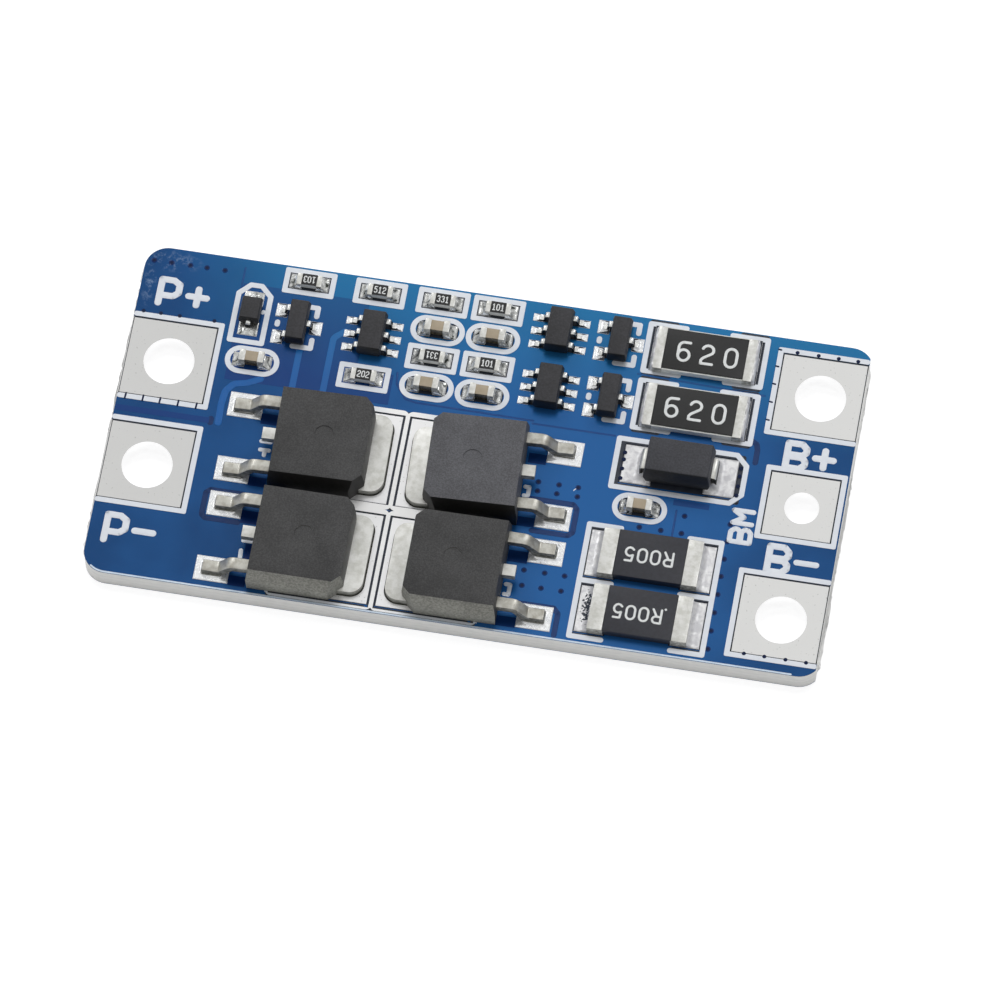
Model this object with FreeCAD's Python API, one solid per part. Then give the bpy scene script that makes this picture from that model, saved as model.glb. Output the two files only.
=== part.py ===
"""Battery management board for a two-cell lithium pack, all sizes in millimetres.

The board lies flat: X runs along its long side, Z points up out of the component side, and the
origin is the middle of its bottom face. The pack terminals P+ and P- are on the left, the cell
terminals B+, BM and B- are on the right. Each sub-part is written to its own STEP file.
"""
import FreeCAD
import Part
import math
import os

from FreeCAD import Vector

# Board and its layers
board_thickness = 1.6
mask_thickness = 0.05          # solder mask over copper, on both faces
corner_radius = 1.5
right_corner_overcut = 0.3     # the right end is snapped off through its corner arcs
score_reach = 0.2              # the snapped web stands out past the V groove
score_web = 0.5                # thickness of that web
mask_clearance = 0.09          # mask window round each land
mask_shift = 0.04              # the mask is printed slightly high
land_rise = 0.03               # tinned lands stand above the mask
legend_line = 0.34
legend_thickness = 0.03
legend_corner = 0.12           # outer corners of a printed box
legend_edge_gap = 0.15         # the print stops short of the board's long edges
bend_share = 0.9               # middle radius of every bend, as a share of the sheet's thickness

# Wire terminals: square lands with a plated hole
terminal_land = 5.35
middle_land = 4.35
terminal_hole = 3.25
middle_hole = 2.2
barrel_wall = 0.16             # plating and the tin levelled onto it
drill_wander_x = 0.06          # the holes are drilled slightly off the middle of their lands
drill_wander_y = -0.06
land_edge_gap = 0.08           # from a terminal land to the end of the board
middle_terminal_shift = 0.05   # BM stands a little nearer the end than its column

# Rows, counted up from the bottom edge
mosfet_low_row = 3.62
p_minus_row = 7.9
p_terminal_pitch = 7.42
b_minus_row = 3.72
b_middle_row = 11.6
b_plus_margin = 3.84           # from B+ up to the top edge
shunt_row = 2.42

# Gaps between one row's print or moulding and the next
mosfet_gap = 0.55
mosfet_row_line = 0.67         # printed between the drain lands of the two rows
shunt_gap = 0.73
sense_gap = 0.395
rectifier_gap = 0.115
bleed_gap = 0.555
bleed_pitch_gap = 0.34
small_frame_gap = 0.12
top_clearance = 0.14
left_trio_drop = 0.11          # below the middle of the four rows of small chips
small_diode_lift = 0.29        # above it

# Steps from column to column along the control chips, left terminals to right terminals
diode_clearance = 1.925        # from the left terminals' lands to the small diode's middle
diode_to_trio = 3.1
trio_to_six = 4.83
six_to_filters = 4.02
filter_gap = 0.08
filters_to_six = 4.12
six_to_trio = 3.9
trio_bleed_gap = 0.04
bleed_clearance = 4.945        # from the bleed resistors' middle to the right terminals' lands

# Columns that stand a little beside another one
left_capacitor_shift = 0.68
first_resistor_shift = 0.2
small_left_shift = -0.05
mosfet_axis_shift = -0.78
rectifier_shift = -0.3
shunt_shift = -1.06
sense_capacitor_shift = -2.36

# Power MOSFET in its moulded package, leads towards +X, drain tab towards -X
mosfet_column_reach = 4.9      # the two columns stand back to back, this far from their line
mosfet_length = 6.1
mosfet_width = 6.5
mosfet_height = 2.3
mosfet_parting = 1.15
mosfet_top_draft = 0.27
mosfet_bottom_draft = 0.03
mosfet_end_draft = 0.13
mosfet_corner_cut = 0.45
ejector_mark = 1.25
ejector_depth = 0.05
ejector_offset = -0.15
leadframe = 0.5
tab_width = 5.4
tab_reach = 1.15
tab_corner = 0.85
tab_inset = 1.2                # the paddle ends this far inside the front of the moulding
lead_width = 0.78
lead_pitch = 4.57
lead_level = 0.95              # underside of a lead where it leaves the moulding
lead_shoulder = 1.05
lead_slope = 0.75
lead_foot = 1.15
lead_embed = 0.7
stub_reach = 0.78
stub_run = 0.6                 # the centre lead climbs from the paddle over this length
mosfet_land = 2.2
mosfet_land_width = 1.7
mosfet_land_toe = 0.49         # the land shows this far past the toe of its lead
drain_land_past = 1.395        # from the middle of the body to the end of the drain land
centre_line_gap = 0.12
drain_line = 0.35
mosfet_frame_reach = 1.8       # from the middle of the body to the end of its printed box
mosfet_frame_corner = 0.45
mosfet_frame_trim = 0.1        # the box's inner corners cut back at its end lines
# How each MOSFET settled in its solder: moved in X, moved in Y, turned in degrees
mosfet_settling = {
    "mosfet_upper_left": (0.0, 0.0, 1.2),
    "mosfet_lower_left": (0.0, 0.0, 0.0),
    "mosfet_upper_right": (0.03, -0.12, 2.3),
    "mosfet_lower_right": (0.0, 0.0, 0.4),
}

# Chips: length, width, height
power_chip = (6.35, 3.0, 0.6)
shunt_chip = (6.35, 3.2, 0.65)
resistor_chip = (1.6, 0.8, 0.45)
capacitor_chip = (1.6, 0.8, 0.8)
power_cap = 0.56
shunt_cap = 0.98
resistor_cap = 0.32
capacitor_cap = 0.4
cap_thickness = 0.05
overcoat = 0.03
power_coat_margin = 0.09       # bare ceramic along both long sides of a bleed resistor
small_land = 0.8
small_land_width = 0.98
small_land_toe = 0.45
power_land = 1.5
power_land_width = 3.2
bleed_drop = 0.17              # the bleed resistors lie this far below the middle of their lands
power_land_toe = 0.255
shunt_land = 1.85
shunt_land_toe = 0.8
box_gap = 0.08                 # from a land to the box printed round it
capsule_gap = 0.16
bracket_gap = 0.17
bracket_arm = 2.45             # the long chips have their box open in the middle
shunt_arm = 2.2

# Rectifier in its moulded block, leads folded under both ends
rectifier_body = (4.3, 2.6, 2.1)
rectifier_draft = 0.14
rectifier_parting = 1.05
rectifier_lead = 1.45
rectifier_strap = 0.2
rectifier_reach = 0.32
rectifier_fold = 1.3
rectifier_standoff = 0.06
rectifier_embed = 0.5
rectifier_land = 1.95
rectifier_land_width = 2.65
rectifier_land_toe = 1.155

# Small diode and the small-outline packages, flat gull-wing leads
diode_body = (1.7, 1.35, 0.85)
diode_lead = 0.3
diode_span = 2.6
diode_land = 1.0
diode_land_width = 1.27
diode_land_toe = 0.27
trio_body = (1.3, 2.9, 1.0)
trio_lead = 0.42
trio_span = 2.4
trio_pitch = 1.9
trio_land = 0.75
trio_land_width = 0.95
trio_land_toe = 0.35
six_body = (1.6, 2.9, 1.1)
six_lead = 0.38
six_span = 2.8
six_pitch = 0.95
six_land = 0.72
six_land_width = 0.52
six_land_toe = 0.43
package_standoff = 0.07
package_draft = 0.1
package_lead = 0.13
package_lead_level = 0.48
package_embed = 0.25
package_shoulder = 0.3         # share of a lead's reach before it turns down
package_leg = 0.2              # share of its reach over which it comes down

# Printed marks round the diodes and the three-lead packages
diode_frame_side = 0.4
diode_frame_end = 0.45
rectifier_frame_side = 0.38
rectifier_frame_end = 0.5
frame_chamfer = 0.68
mark_gap = 0.42                # from a moulding to the corner marks beside it
mark_arm = 0.6
mark_long_arm = 1.17
dot_gap = 0.15

# Derived levels
land_top = board_thickness + land_rise
core_bottom = mask_thickness
core_top = board_thickness - mask_thickness

# Derived lands, from the middle of a part to the middle of its land
lead_end = mosfet_length / 2 + lead_shoulder + lead_slope + lead_foot
mosfet_land_reach = lead_end + mosfet_land_toe - mosfet_land / 2
small_land_reach = resistor_chip[0] / 2 + small_land_toe - small_land / 2
power_land_reach = power_chip[0] / 2 + power_land_toe - power_land / 2
shunt_land_reach = shunt_chip[0] / 2 + shunt_land_toe - shunt_land / 2
rectifier_land_reach = rectifier_body[0] / 2 + rectifier_reach + rectifier_land_toe - rectifier_land / 2
diode_land_reach = diode_span / 2 + diode_land_toe - diode_land / 2
trio_land_reach = trio_span / 2 + trio_land_toe - trio_land / 2
six_land_reach = six_span / 2 + six_land_toe - six_land / 2
mosfet_row_pitch = mosfet_width + mosfet_gap
drain_land_width = mosfet_row_pitch - mosfet_row_line - 2 * mask_clearance
drain_land_start = drain_line / 2 + centre_line_gap
drain_land = mosfet_column_reach + drain_land_past - drain_land_start

# Derived half widths of the printed frames
box_half = small_land_width / 2 + box_gap + legend_line
capsule_half = small_land_width / 2 + capsule_gap + legend_line
capsule_reach = small_land_reach + small_land / 2 + capsule_gap + legend_line
rectifier_frame_half = rectifier_land_width / 2 + rectifier_frame_side + legend_line / 2
bleed_frame_half = power_land_width / 2 + 0.75 * legend_line
bleed_frame_reach = power_land_reach + power_land / 2 + bracket_gap + legend_line

# Derived rows
shunt_row_pitch = shunt_chip[1] + shunt_gap
shunt_frame_top = shunt_row + 1.5 * shunt_row_pitch + legend_line / 2
sense_capacitor_row = shunt_frame_top + sense_gap + capsule_half
rectifier_row = sense_capacitor_row + capsule_half + rectifier_gap + rectifier_frame_half
balance_row = rectifier_row + rectifier_frame_half + bleed_gap + bleed_frame_half
balance_row_pitch = 2 * bleed_frame_half + bleed_pitch_gap
small_row_pitch = box_half + capsule_half + small_frame_gap
small_middle_row = balance_row + balance_row_pitch / 2
small_row = small_middle_row - 1.5 * small_row_pitch
left_trio_row = small_middle_row - left_trio_drop
small_diode_row = small_middle_row + small_diode_lift
board_width = small_row + 3 * small_row_pitch + box_half + top_clearance
half_width = board_width / 2
b_plus_row = board_width - b_plus_margin

# Derived columns, with the middle of the board at zero
filter_pitch = 2 * capsule_reach + filter_gap
trio_to_bleed = trio_land_reach + trio_land / 2 + trio_bleed_gap + bleed_frame_reach
terminal_to_diode = terminal_land / 2 + diode_clearance
bleed_to_terminal = bleed_clearance + terminal_land / 2
chips_run = diode_to_trio + trio_to_six + six_to_filters + filter_pitch + filters_to_six + six_to_trio
terminal_span = terminal_to_diode + chips_run + trio_to_bleed + bleed_to_terminal
half_length = terminal_span / 2 + terminal_land / 2 + land_edge_gap
diode_column = terminal_to_diode - terminal_span / 2
left_trio_column = diode_column + diode_to_trio
left_six_column = left_trio_column + trio_to_six
small_middle_column = left_six_column + six_to_filters
small_right_column = small_middle_column + filter_pitch
right_six_column = small_right_column + filters_to_six
right_trio_column = right_six_column + six_to_trio
bleed_column = right_trio_column + trio_to_bleed
left_capacitor_column = diode_column + left_capacitor_shift
first_resistor_column = left_trio_column + first_resistor_shift
small_left_column = left_six_column + small_left_shift
mosfet_axis_x = small_middle_column + mosfet_axis_shift
rectifier_column = bleed_column + rectifier_shift
shunt_column = bleed_column + shunt_shift
sense_capacitor_column = bleed_column + sense_capacitor_shift


def row(height):
    """Turns a height above the bottom edge into Y."""
    return height - half_width


def slab(length, width, z_low, z_high, x=0.0, y=0.0):
    """A plain block whose plan is centred on x, y."""
    corner = Vector(x - length / 2, y - width / 2, z_low)
    return Part.makeBox(length, width, z_high - z_low, corner)


def place(shape, x, y, turn=0.0, z=0.0):
    """Sets a part, drawn at the origin, down on the board."""
    moved = shape.copy()
    moved.Placement = FreeCAD.Placement(Vector(x, y, z), FreeCAD.Rotation(Vector(0, 0, 1), turn))
    return moved


def group(shapes):
    """Several separate solids that share one node."""
    return Part.makeCompound(shapes)


def joined(shapes):
    """One solid out of several that touch."""
    whole = shapes[0]
    for shape in shapes[1:]:
        whole = whole.fuse(shape)
    return whole.removeSplitter()


def prism(wire, z_low, z_high):
    """A closed flat outline pushed up between two levels."""
    face = Part.Face(wire)
    face.translate(Vector(0, 0, z_low))
    return face.extrude(Vector(0, 0, z_high - z_low))


def polygon(points):
    corners = [Vector(x, y, 0) for x, y in points]
    return Part.makePolygon(corners + corners[:1])


def rectangle(length, width, x=0.0, y=0.0):
    a, b = length / 2, width / 2
    return polygon([(x - a, y - b), (x + a, y - b), (x + a, y + b), (x - a, y + b)])


def rounded_outline(length, width, radius):
    """A rectangle with round corners, centred on the origin."""
    solid = slab(length, width, 0, 1)
    upright = [edge for edge in solid.Edges if abs(edge.Vertexes[0].Z - edge.Vertexes[-1].Z) > 0.5]
    limit = 0.499 * min(length, width)
    rounded = solid.makeFillet(min(radius, limit), upright)
    floor = min(rounded.Faces, key=lambda face: face.CenterOfMass.z)
    return floor.OuterWire


def frustum(sections):
    """A moulded block through level rectangles: (length, width, z) from the bottom up."""
    blocks = []
    for (low_length, low_width, low_z), (high_length, high_width, high_z) in zip(sections, sections[1:]):
        low = rectangle(low_length, low_width)
        low.translate(Vector(0, 0, low_z))
        high = rectangle(high_length, high_width)
        high.translate(Vector(0, 0, high_z))
        blocks.append(Part.makeLoft([low, high], True, True))
    return joined(blocks)


def bent_strip(points, thickness, width):
    """Sheet metal bent along a path in the XZ plane, centred across Y.

    The path is the middle of the sheet. Each bend gets an inner and an outer arc about one centre.
    """
    radius = bend_share * thickness
    path = [Vector(x, -width / 2, z) for x, z in points]
    sides = {1: [], -1: []}
    starts = {}
    for side in sides:
        here = path[0]
        along = (path[1] - path[0]).normalize()
        normal = Vector(-along.z, 0, along.x)
        starts[side] = here + normal * (side * thickness / 2)
        cursor = starts[side]
        for index in range(1, len(path) - 1):
            before = (path[index] - path[index - 1]).normalize()
            after = (path[index + 1] - path[index]).normalize()
            turn = before.x * after.z - before.z * after.x
            bend = math.copysign(1, turn)
            angle = math.acos(max(-1.0, min(1.0, before.dot(after))))
            setback = radius * math.tan(angle / 2)
            first = path[index] - before * setback
            last = path[index] + after * setback
            inward = Vector(-before.z, 0, before.x) * bend
            centre = first + inward * radius
            reach = radius - side * bend * thickness / 2
            tips = [(point - centre).normalize() for point in (first, path[index], last)]
            start, middle, end = [centre + tip * reach for tip in tips]
            sides[side].append(Part.LineSegment(cursor, start).toShape())
            sides[side].append(Part.Arc(start, middle, end).toShape())
            cursor = end
        along = (path[-1] - path[-2]).normalize()
        normal = Vector(-along.z, 0, along.x)
        finish = path[-1] + normal * (side * thickness / 2)
        sides[side].append(Part.LineSegment(cursor, finish).toShape())
    ends = [
        Part.makeLine(starts[1], starts[-1]),
        Part.makeLine(sides[1][-1].Vertexes[-1].Point, sides[-1][-1].Vertexes[-1].Point),
    ]
    wire = Part.Wire(Part.__sortEdges__(sides[1] + sides[-1] + ends))
    return Part.Face(wire).extrude(Vector(0, width, 0))


# Terminals

def terminals():
    """Name, middle of the land, size of the land and of its hole."""
    left = -terminal_span / 2
    right = terminal_span / 2
    return [
        ("p_plus", left, row(p_minus_row + p_terminal_pitch), terminal_land, terminal_hole),
        ("p_minus", left, row(p_minus_row), terminal_land, terminal_hole),
        ("b_plus", right, row(b_plus_row), terminal_land, terminal_hole),
        ("b_middle", right + middle_terminal_shift, row(b_middle_row), middle_land, middle_hole),
        ("b_minus", right, row(b_minus_row), terminal_land, terminal_hole),
    ]


def hole_place(x, y):
    return x + drill_wander_x, y + drill_wander_y


def terminal_pad(x, y, land, hole):
    """Top land, bottom land and the plated barrel between them, all one piece of tinned copper."""
    hole_x, hole_y = hole_place(x, y)
    top = slab(land, land, core_top, land_top, x, y)
    bottom = slab(land, land, 0, core_bottom, x, y)
    barrel = Part.makeCylinder(hole / 2 + barrel_wall, land_top, Vector(hole_x, hole_y, 0))
    bore = Part.makeCylinder(hole / 2, land_top, Vector(hole_x, hole_y, 0))
    return joined([top, barrel, bottom]).cut(bore)


# Lands: (x, y, length, width) of every tinned land under the small parts

def turned_lands(lands, x, y, turn=0):
    """Lands given about a part's own middle, set down with it; turn is 0, 90 or 180."""
    quarter = int(round(turn / 90)) % 4
    placed = []
    for land_x, land_y, length, width in lands:
        for _ in range(quarter):
            land_x, land_y, length, width = -land_y, land_x, width, length
        placed.append((x + land_x, y + land_y, length, width))
    return placed


def pair_of_lands(reach, length, width):
    return [(side * reach, 0, length, width) for side in (-1, 1)]


def mosfet_lands():
    reach = mosfet_land_reach
    return [(reach, side * lead_pitch / 2, mosfet_land, mosfet_land_width) for side in (-1, 1)]


def trio_lands():
    left = [(-trio_land_reach, side * trio_pitch / 2, trio_land, trio_land_width) for side in (-1, 1)]
    return left + [(trio_land_reach, 0, trio_land, trio_land_width)]


def six_lands():
    return [(side * six_land_reach, step * six_pitch, six_land, six_land_width)
            for side in (-1, 1) for step in (-1, 0, 1)]


# Where each part stands: (name, x, y, turn)

def mosfet_stations():
    """Name, side of the centre line (-1 left, 1 right) and row of each MOSFET."""
    low = row(mosfet_low_row)
    high = low + mosfet_row_pitch
    return [
        ("mosfet_upper_left", -1, high),
        ("mosfet_lower_left", -1, low),
        ("mosfet_upper_right", 1, high),
        ("mosfet_lower_right", 1, low),
    ]


def mosfet_places():
    places = []
    for name, side, y in mosfet_stations():
        drift_x, drift_y, turn = mosfet_settling[name]
        facing = 0 if side > 0 else 180
        x = mosfet_axis_x + side * mosfet_column_reach
        places.append((name, x + drift_x, y + drift_y, facing + turn))
    return places


def small_rows():
    return [row(small_row + step * small_row_pitch) for step in range(4)]


def resistor_places():
    first, second, third, fourth = small_rows()
    return [
        ("resistor_103", first_resistor_column, fourth),
        ("resistor_512", small_left_column, fourth),
        ("resistor_202", small_left_column, first),
        ("resistor_331_upper", small_middle_column, fourth),
        ("resistor_331_lower", small_middle_column, second),
        ("resistor_101_upper", small_right_column, fourth),
        ("resistor_101_lower", small_right_column, second),
    ]


def capacitor_places():
    first, second, third, fourth = small_rows()
    return [
        ("supply_capacitor", left_capacitor_column, first),
        ("filter_capacitor_upper_left", small_middle_column, third),
        ("filter_capacitor_upper_right", small_right_column, third),
        ("filter_capacitor_lower_left", small_middle_column, first),
        ("filter_capacitor_lower_right", small_right_column, first),
        ("sense_capacitor", sense_capacitor_column, row(sense_capacitor_row)),
    ]


def trio_places():
    low = row(balance_row)
    return [
        ("switch_transistor", left_trio_column, row(left_trio_row)),
        ("bleed_transistor_upper", right_trio_column, low + balance_row_pitch),
        ("bleed_transistor_lower", right_trio_column, low),
    ]


def six_places():
    low = row(balance_row)
    return [
        ("protection_chip", left_six_column, row(left_trio_row)),
        ("balance_chip_upper", right_six_column, low + balance_row_pitch),
        ("balance_chip_lower", right_six_column, low),
    ]


def bleed_places():
    low = row(balance_row)
    return [
        ("bleed_resistor_upper", bleed_column, low + balance_row_pitch),
        ("bleed_resistor_lower", bleed_column, low),
    ]


def shunt_places():
    low = row(shunt_row)
    return [
        ("shunt_resistor_upper", shunt_column, low + shunt_row_pitch),
        ("shunt_resistor_lower", shunt_column, low),
    ]


def small_diode_place():
    return diode_column, row(small_diode_row)


def rectifier_place():
    return rectifier_column, row(rectifier_row)


def drain_lands():
    """One wide land under each drain tab, from the printed centre line outwards."""
    lands = []
    for name, side, y in mosfet_stations():
        middle = mosfet_axis_x + side * (drain_land_start + drain_land / 2)
        lands.append((middle, y, drain_land, drain_land_width))
    return lands


def all_lands():
    lands = drain_lands()
    for name, side, y in mosfet_stations():
        x = mosfet_axis_x + side * mosfet_column_reach
        lands += turned_lands(mosfet_lands(), x, y, 0 if side > 0 else 180)
    small = pair_of_lands(small_land_reach, small_land, small_land_width)
    for name, x, y in resistor_places() + capacitor_places():
        lands += turned_lands(small, x, y)
    for name, x, y in trio_places():
        lands += turned_lands(trio_lands(), x, y)
    for name, x, y in six_places():
        lands += turned_lands(six_lands(), x, y)
    for name, x, y in bleed_places():
        lands += turned_lands(pair_of_lands(power_land_reach, power_land, power_land_width), x, y)
    for name, x, y in shunt_places():
        lands += turned_lands(pair_of_lands(shunt_land_reach, shunt_land, shunt_chip[1]), x, y)
    lands += turned_lands(pair_of_lands(diode_land_reach, diode_land, diode_land_width),
                          *small_diode_place(), 90)
    lands += turned_lands(pair_of_lands(rectifier_land_reach, rectifier_land, rectifier_land_width),
                          *rectifier_place())
    return lands


def component_lands():
    return group([slab(length, width, core_top, land_top, x, y) for x, y, length, width in all_lands()])


# The bare board and its two mask layers

def board_plan(z_low, z_high):
    """A layer of the board's outline; the right end cuts across its corner arcs and leaves them sharp."""
    routed = rounded_outline(2 * half_length + right_corner_overcut, board_width, corner_radius)
    routed.translate(Vector(right_corner_overcut / 2, 0, 0))
    blank = prism(routed, z_low, z_high)
    return blank.common(slab(2 * half_length, board_width, z_low, z_high))


def score_web_strip(side):
    """What stays of the V-scored web after a board is snapped from its neighbour."""
    run = corner_radius if side < 0 else corner_radius - right_corner_overcut
    middle = board_thickness / 2
    edge = side * half_length
    tip = side * (half_length + score_reach)
    points = [
        (edge, core_bottom), (tip, middle - score_web / 2),
        (tip, middle + score_web / 2), (edge, core_top),
    ]
    wire = Part.makePolygon([Vector(x, -(half_width - run), z) for x, z in points + points[:1]])
    return Part.Face(wire).extrude(Vector(0, 2 * (half_width - run), 0))


def board_laminate():
    core = joined([board_plan(core_bottom, core_top), score_web_strip(-1), score_web_strip(1)])
    for name, x, y, land, hole in terminals():
        hole_x, hole_y = hole_place(x, y)
        core = core.cut(Part.makeCylinder(hole / 2 + barrel_wall, board_thickness, Vector(hole_x, hole_y, 0)))
    return core


def mask_window(x, y, length, width, z_low, z_high):
    grow = 2 * mask_clearance
    return slab(length + grow, width + grow, z_low, z_high, x, y + mask_shift)


def solder_mask(z_low, z_high, lands):
    """A mask layer with a window round each land."""
    windows = [mask_window(x, y, length, width, z_low, z_high) for x, y, length, width in lands]
    return board_plan(z_low, z_high).cut(windows)


# Power MOSFETs

def mosfet_tab():
    """The drain paddle: its tab sticks out behind, and the cut centre lead is part of it."""
    back = -(mosfet_length / 2 + tab_reach)
    front = mosfet_length / 2 - tab_inset
    length = front - back
    plate = prism(rounded_outline(length, tab_width, tab_corner), 0, leadframe)
    plate.translate(Vector((front + back) / 2, 0, 0))
    flat = leadframe / 2
    level = lead_level + leadframe / 2
    stub_end = mosfet_length / 2 + stub_reach
    path = [(front - stub_run, flat), (front, flat), (front + stub_run, level), (stub_end, level)]
    stub = bent_strip(path, leadframe, lead_width)
    return joined([plate, stub])


def mosfet_lead():
    """Gull-wing lead: out of the moulding, down a slope, flat foot on the land."""
    start = mosfet_length / 2 - lead_embed
    shoulder_end = mosfet_length / 2 + lead_shoulder
    slope_end = shoulder_end + lead_slope
    level = lead_level + leadframe / 2
    foot = leadframe / 2
    path = [(start, level), (shoulder_end, level), (slope_end, foot), (slope_end + lead_foot, foot)]
    return bent_strip(path, leadframe, lead_width)


def mosfet_leads():
    return group([place(mosfet_lead(), 0, side * lead_pitch / 2) for side in (-1, 1)])


def mosfet_body():
    """Two drafted halves, chamfered on the tab side, moulded round the leadframe."""
    length, width = mosfet_length, mosfet_width
    block = frustum([
        (length - 2 * mosfet_bottom_draft, width - 2 * mosfet_bottom_draft, 0),
        (length, width, mosfet_parting),
        (length - 2 * mosfet_end_draft, width - 2 * mosfet_top_draft, mosfet_height),
    ])
    cut = mosfet_corner_cut
    for side in (-1, 1):
        corner = (-length / 2, side * width / 2)
        wedge = polygon([corner, (corner[0] + 2 * cut, corner[1]), (corner[0], corner[1] - side * 2 * cut)])
        block = block.cut(prism(wedge, -1, mosfet_height + 1))
    floor = mosfet_height - ejector_depth
    mark = Part.makeCylinder(ejector_mark / 2, ejector_depth, Vector(ejector_offset, 0, floor))
    return block.cut(mark).cut(mosfet_tab()).cut(mosfet_leads())


# Chips

def end_caps(chip, cap):
    """Two metal terminations; each wraps the end, top and underside of the ceramic."""
    length, width, height = chip
    caps = []
    for side in (-1, 1):
        outer = slab(cap, width, 0, height, side * (length - cap) / 2)
        middle = side * ((length - cap) / 2 - cap_thickness)
        caps.append(outer.cut(slab(cap, width, cap_thickness, height - cap_thickness, middle)))
    return caps


def chip_body(chip, cap, coat_margin=0.0):
    """The ceramic between and inside the two terminations, with its overcoat on top."""
    length, width, height = chip
    core = slab(length - 2 * cap_thickness, width, cap_thickness, height - cap_thickness)
    coat = slab(length - 2 * cap, width - 2 * coat_margin, height - cap_thickness, height + overcoat)
    return joined([core, coat])


def capacitor_body():
    length, width, height = capacitor_chip
    inset = cap_thickness
    return slab(length - 2 * inset, width - 2 * inset, inset, height - inset)


def capacitor_caps():
    """Dipped terminations: they cover all five faces at each end."""
    length, width, height = capacitor_chip
    cups = []
    for side in (-1, 1):
        cup = slab(capacitor_cap, width, 0, height, side * (length - capacitor_cap) / 2)
        cups.append(cup.cut(capacitor_body()))
    return cups


def small_end_caps():
    """The terminations of every small chip on the board, as separate solids in one node."""
    caps = []
    for name, x, y in resistor_places():
        caps += [place(cap, x, y, 0, land_top) for cap in end_caps(resistor_chip, resistor_cap)]
    for name, x, y in capacitor_places():
        caps += [place(cap, x, y, 0, land_top) for cap in capacitor_caps()]
    return group(caps)


# Rectifier

def rectifier_leads():
    """Each strap leaves the end of the block, turns down and folds under it."""
    length, width, height = rectifier_body
    strap = rectifier_strap / 2
    out = length / 2 + rectifier_reach - strap
    level = rectifier_parting
    inner = length / 2 - rectifier_embed
    path = [(inner, level), (out, level), (out, strap), (length / 2 - rectifier_fold, strap)]
    lead = bent_strip(path, rectifier_strap, rectifier_lead)
    return group([lead, place(lead, 0, 0, 180)])


def rectifier_block():
    length, width, height = rectifier_body
    low = rectifier_strap + rectifier_standoff
    draft = 2 * rectifier_draft
    block = frustum([
        (length - draft, width - draft, low),
        (length, width, rectifier_parting),
        (length - draft, width - draft, height),
    ])
    return block.cut(rectifier_leads())


# Small packages with flat gull-wing leads

def package_block(size):
    """A small moulding that tapers up and down from its parting line."""
    length, width, height = size
    low = package_standoff
    level = package_lead_level + package_lead / 2
    draft = 2 * package_draft
    return frustum([
        (length - draft, width - draft, low),
        (length, width, level),
        (length - draft, width - draft, low + height),
    ])


def package_lead_strip(body_length, span, width):
    """One lead towards +X: a short shoulder, a steep leg and a foot."""
    level = package_lead_level + package_lead / 2
    foot = package_lead / 2
    side = body_length / 2
    run = span / 2 - side
    turn = side + package_shoulder * run
    path = [(side - package_embed, level), (turn, level), (turn + package_leg * run, foot), (span / 2, foot)]
    return bent_strip(path, package_lead, width)


def diode_leads():
    lead = package_lead_strip(diode_body[0], diode_span, diode_lead)
    return group([lead, place(lead, 0, 0, 180)])


def trio_leads():
    """Two leads on the left, one on the right."""
    lead = package_lead_strip(trio_body[0], trio_span, trio_lead)
    left = [place(lead, 0, side * trio_pitch / 2, 180) for side in (-1, 1)]
    return group(left + [lead])


def six_leads():
    lead = package_lead_strip(six_body[0], six_span, six_lead)
    return group([place(lead, 0, step * six_pitch, turn) for turn in (0, 180) for step in (-1, 0, 1)])


# Printed legend: plain frames round the parts, as thin raised ink

def inked(face):
    """A flat shape printed on the mask."""
    face.translate(Vector(0, 0, board_thickness))
    return face.extrude(Vector(0, 0, legend_thickness))


def stroke(points):
    """An open line of ink with round ends and corners."""
    wire = Part.makePolygon([Vector(x, y, 0) for x, y in points])
    return inked(wire.makeOffset2D(legend_line / 2, 0, True))


def ring(outer, inner):
    return inked(Part.Face(outer)).cut(inked(Part.Face(inner)))


def closed_stroke(points):
    """A closed line of ink along the points, round outside and sharp inside."""
    wire = polygon(points)
    return ring(wire.makeOffset2D(legend_line / 2), wire.makeOffset2D(-legend_line / 2, 2))


def box_frame(x, y, length, width):
    """A box of ink whose inside is length by width."""
    line = 2 * legend_line
    outer = rounded_outline(length + line, width + line, legend_corner)
    return place(ring(outer, rectangle(length, width)), x, y)


def capsule_frame(x, y, length, width):
    line = legend_line
    outer = rounded_outline(length + 2 * line, width + 2 * line, width / 2 + line)
    inner = rounded_outline(length, width, width / 2)
    return place(ring(outer, inner), x, y)


def terminal_frames():
    """Each terminal is framed up to the board's end; only the small middle one has all four sides."""
    frames = []
    top = board_thickness + legend_thickness
    printable = board_plan(board_thickness, top)
    for name, x, y, land, hole in terminals():
        opening = land + 2 * mask_clearance
        frame = box_frame(x, y + mask_shift, opening, opening)
        if name != "b_middle":
            end = x + math.copysign(opening / 2, x)
            frame = frame.cut(slab(2 * legend_line, opening, board_thickness, top, end, y + mask_shift))
        frames.append(frame.common(printable))
    return frames


def chip_frames():
    """Boxes round the small resistors and capsules round the small capacitors."""
    inner = 2 * (small_land_reach + small_land / 2)
    frames = []
    for name, x, y in resistor_places():
        frames.append(box_frame(x, y, inner + 2 * box_gap, small_land_width + 2 * box_gap))
    for name, x, y in capacitor_places():
        frames.append(capsule_frame(x, y, inner + 2 * capsule_gap, small_land_width + 2 * capsule_gap))
    return frames


def bracket_pair(x, y, length, width, arm):
    """A long box left open in the middle of its long sides; length and width are its centre line."""
    pieces = []
    for side in (-1, 1):
        end = x + side * length / 2
        inner = end - side * (arm - legend_line / 2)
        top = y + width / 2
        low = y - width / 2
        pieces.append(stroke([(inner, top), (end, top), (end, low), (inner, low)]))
    return pieces


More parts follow.
